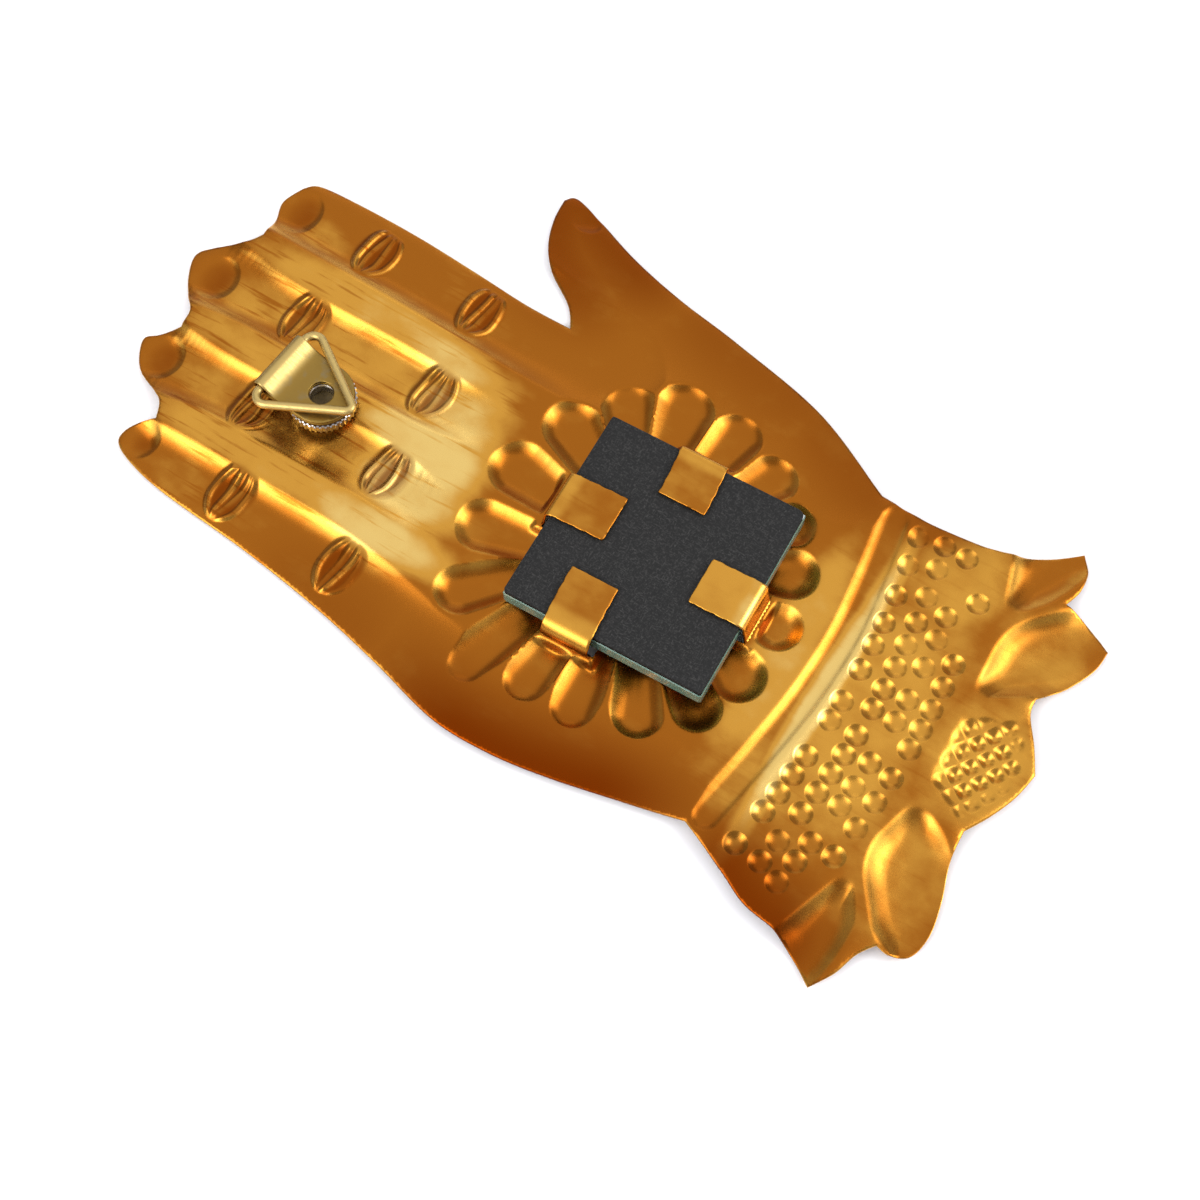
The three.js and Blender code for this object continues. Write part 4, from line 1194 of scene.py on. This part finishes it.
# A painted highlight on the slope, taken off the dullness
painted_gleam = 1 - soft_step(*GLEAM_FADE, np.abs(flat[:, 0] - last + GLEAM_REACH))
below = flat[:, 0] < last - TOP_REACH
piece("hanger_strap_folded", vertices, faces, plain_brass, "hand", "plain_brass", ["hanger_strap"],
      dull=TOP_DULL + (1 - TOP_DULL) * below - PAINTED_GLEAM * painted_gleam)

# %% [markdown]
# The ring is a wire bent into a triangle. Its two ends meet inside the roll, so it can swing about its
# straight side. It rests a little raised, as it lies on the strap's round end. A curve with a round bevel
# would look the same, but this tube has closed ends and stays one plain mesh.

# %% Hanger ring
RING_PLAY = 0.3
RING_BEND = 1.9
RING_POINT_BEND = 1.0
RING_REACH = 17.0
RING_TILT = math.radians(5)
WIRE_GAP = 0.3
WIRE_SIDES = 20
WIRE_STEP = 0.35
WIRE_DULL = 0.25


def tube(path, radius, sides):
    """Rings of points round a path that lies flat."""
    ways = np.gradient(path, axis=0)
    up = np.array([0, 0, 1])
    beside = np.cross(ways / np.linalg.norm(ways, axis=1)[:, None], up)
    points = radius * around(np.linspace(0, 2 * math.pi, sides, endpoint=False))
    return [at + points @ [side, up] for at, side in zip(path, beside)]


def skin(rings, looped=False):
    """Points and faces of a body through rings of points. The last ring of a looped body meets its first
    one, and the ends of any other are closed."""
    numbers = np.arange(len(rings) * len(rings[0])).reshape(len(rings), -1)
    faces = []
    for ring, after in zip(numbers, np.roll(numbers, -1, axis=0) if looped else numbers[1:]):
        faces += zip(ring, np.roll(ring, -1), np.roll(after, -1), after)
    if not looped:
        faces += [tuple(numbers[0][::-1]), tuple(numbers[-1])]
    return np.vstack(rings), faces


tangents = [bend * math.sqrt(3) for bend in (RING_BEND, RING_POINT_BEND, RING_BEND)]
half_side = STRAP_WIDTH / 2 + RING_PLAY + tangents[0]
ring_corners = [(-WIRE_GAP / 2, 0), (-half_side, 0), (0, -RING_REACH), (half_side, 0), (WIRE_GAP / 2, 0)]
ring_path = evenly(rounded(ring_corners, tangents, 16), WIRE_STEP)
ring_path = np.vstack([ring_path, ring_corners[-1:]])
vertices, faces = skin(tube(raised(ring_path, 0), WIRE / 2, WIRE_SIDES))
x, y, z = vertices.T
cosine, sine = math.cos(-RING_TILT), math.sin(-RING_TILT)
vertices = on_hanger(np.column_stack([
    x,
    ROLL_REACH + y * cosine - z * sine,
    ROLL_HEIGHT + y * sine + z * cosine,
]))
piece("hanger_ring_wire", vertices, faces, plain_brass, "ring", "plain_brass", ["hanger_ring"],
      dull=np.full(len(vertices), WIRE_DULL))

# %% [markdown]
# The spacer is a turned steel disc with a milled edge, plated bright and a little stained. Teeth could be
# cut by booleans, but a ring of points whose radius waves gives them directly.

# %% Spacer
plated_steel, tree = new_material("plated_steel")
spots = pattern(tree, (1.2, 1.2, 1.2))
stain = add(tree, "MapRange", {"Value": spots, "From Min": 0.4, "From Max": 0.7}, **SMOOTH)
steels = {SHARE: stain, FIRST: linear("#DAD8D5"), SECOND: linear("#A89D8E")}
surface(tree, {
    "Base Color": add(tree, "Mix", steels, **COLOURS),
    "Metallic": 1,
    "Roughness": add(tree, "MapRange", {"Value": stain, "To Min": 0.18, "To Max": 0.4}, **SMOOTH),
})
SPACER_RADIUS = 6.2
SPACER_TEETH = 40
TOOTH_DEPTH = 0.25
TOOTH_STEPS = 6
TOOTH_FLANK = 0.6  # how steep a tooth's sides are: at 0 they would stand upright
SPACER_BEVEL = 0.2
SPACER_FLAT = 1.2  # how far in from the teeth the top is level
SPACER_FALL = 0.05  # how far the top falls from there to the teeth
angles = np.linspace(0, 2 * math.pi, SPACER_TEETH * TOOTH_STEPS, endpoint=False)
tooth = soft_step(-TOOTH_FLANK, TOOTH_FLANK, np.cos(SPACER_TEETH * angles))
milled = SPACER_RADIUS - TOOTH_DEPTH * (1 - tooth)
top = SPACER_BOTTOM + SPACER
profile = [
    (STRAP_HOLE, SPACER_BOTTOM),
    (STRAP_HOLE, top - SPACER_BEVEL),
    (STRAP_HOLE + SPACER_BEVEL, top),
    (SPACER_RADIUS - SPACER_FLAT, top),
    (milled - SPACER_BEVEL, top - SPACER_FALL),
    (milled, top - SPACER_BEVEL - SPACER_FALL),
    (milled, SPACER_BOTTOM + SPACER_BEVEL),
    (milled - SPACER_BEVEL, SPACER_BOTTOM),
]
rings = []
for radius, height in profile:
    rings.append(on_hanger(raised(around(angles) * np.reshape(radius, (-1, 1)), height)))
vertices, faces = skin(rings, looped=True)
piece("spacer_milled", vertices, faces, plated_steel, "hand", "plated_steel", ["spacer_disc"], sharp=35)

# %% [markdown]
# The spacer is bedded in a blob of filler, which was pressed into the hollows of the sheet and set dull
# and lumpy. It is made of rings as well: the lower ones follow the relief, and its rim is rounded.

# %% Filler pad
set_filler, tree = new_material("set_filler")
lumps = pattern(tree, (0.7, 0.7, 0.7))
browns = {SHARE: lumps, FIRST: linear("#54441F"), SECOND: linear("#7A6638")}
surface(tree, {
    "Base Color": add(tree, "Mix", browns, **COLOURS),
    "Roughness": 0.55,
    "Normal": add(tree, "Bump", {"Height": lumps, "Distance": 0.2 * MM, "Strength": 0.7}),
})
PAD_INSET = 1.2
PAD_SIDES = 72
PAD_RINGS = 12
PAD_MIDDLE = 0.02  # its smallest ring, as a share of its radius
PAD_LOBES = ((0.02, 3, 1), (0.015, 7, 0))  # how deep the dips of its edge are, how many, and their start
PAD_GAP = 0.1
PAD_RIM = 0.85  # where its rim starts, as a share of its radius
RIM_LIFT, RIM_DROP = 0.25, 0.2  # how far the rim leaves the sheet, and falls below the top
angles = np.linspace(0, 2 * math.pi, PAD_SIDES, endpoint=False)
dips = sum(depth * (1 + np.sin(count * angles + start)) for depth, count, start in PAD_LOBES)
blob = (SPACER_RADIUS - PAD_INSET) * (1 - dips)
reach = around(angles) * blob[:, None]
lower = []
upper = []
for share in np.linspace(PAD_MIDDLE, 1, PAD_RINGS):
    xy = np.array([HANGER_X, HANGER_Y]) + reach * share
    at_rim = soft_step(PAD_RIM, 1, share)
    bottom = np.minimum(PAD_GAP + RIM_LIFT * at_rim - relief(xy), PAD_HEIGHT - RIM_DROP)
    lower.append(raised(xy, bottom))
    upper.append(raised(xy, PAD_HEIGHT - RIM_DROP * at_rim))
vertices, faces = skin(lower + upper[::-1], looped=True)
piece("filler_pad", vertices, faces, set_filler, "hand", "set_filler", ["adhesive_pad"])
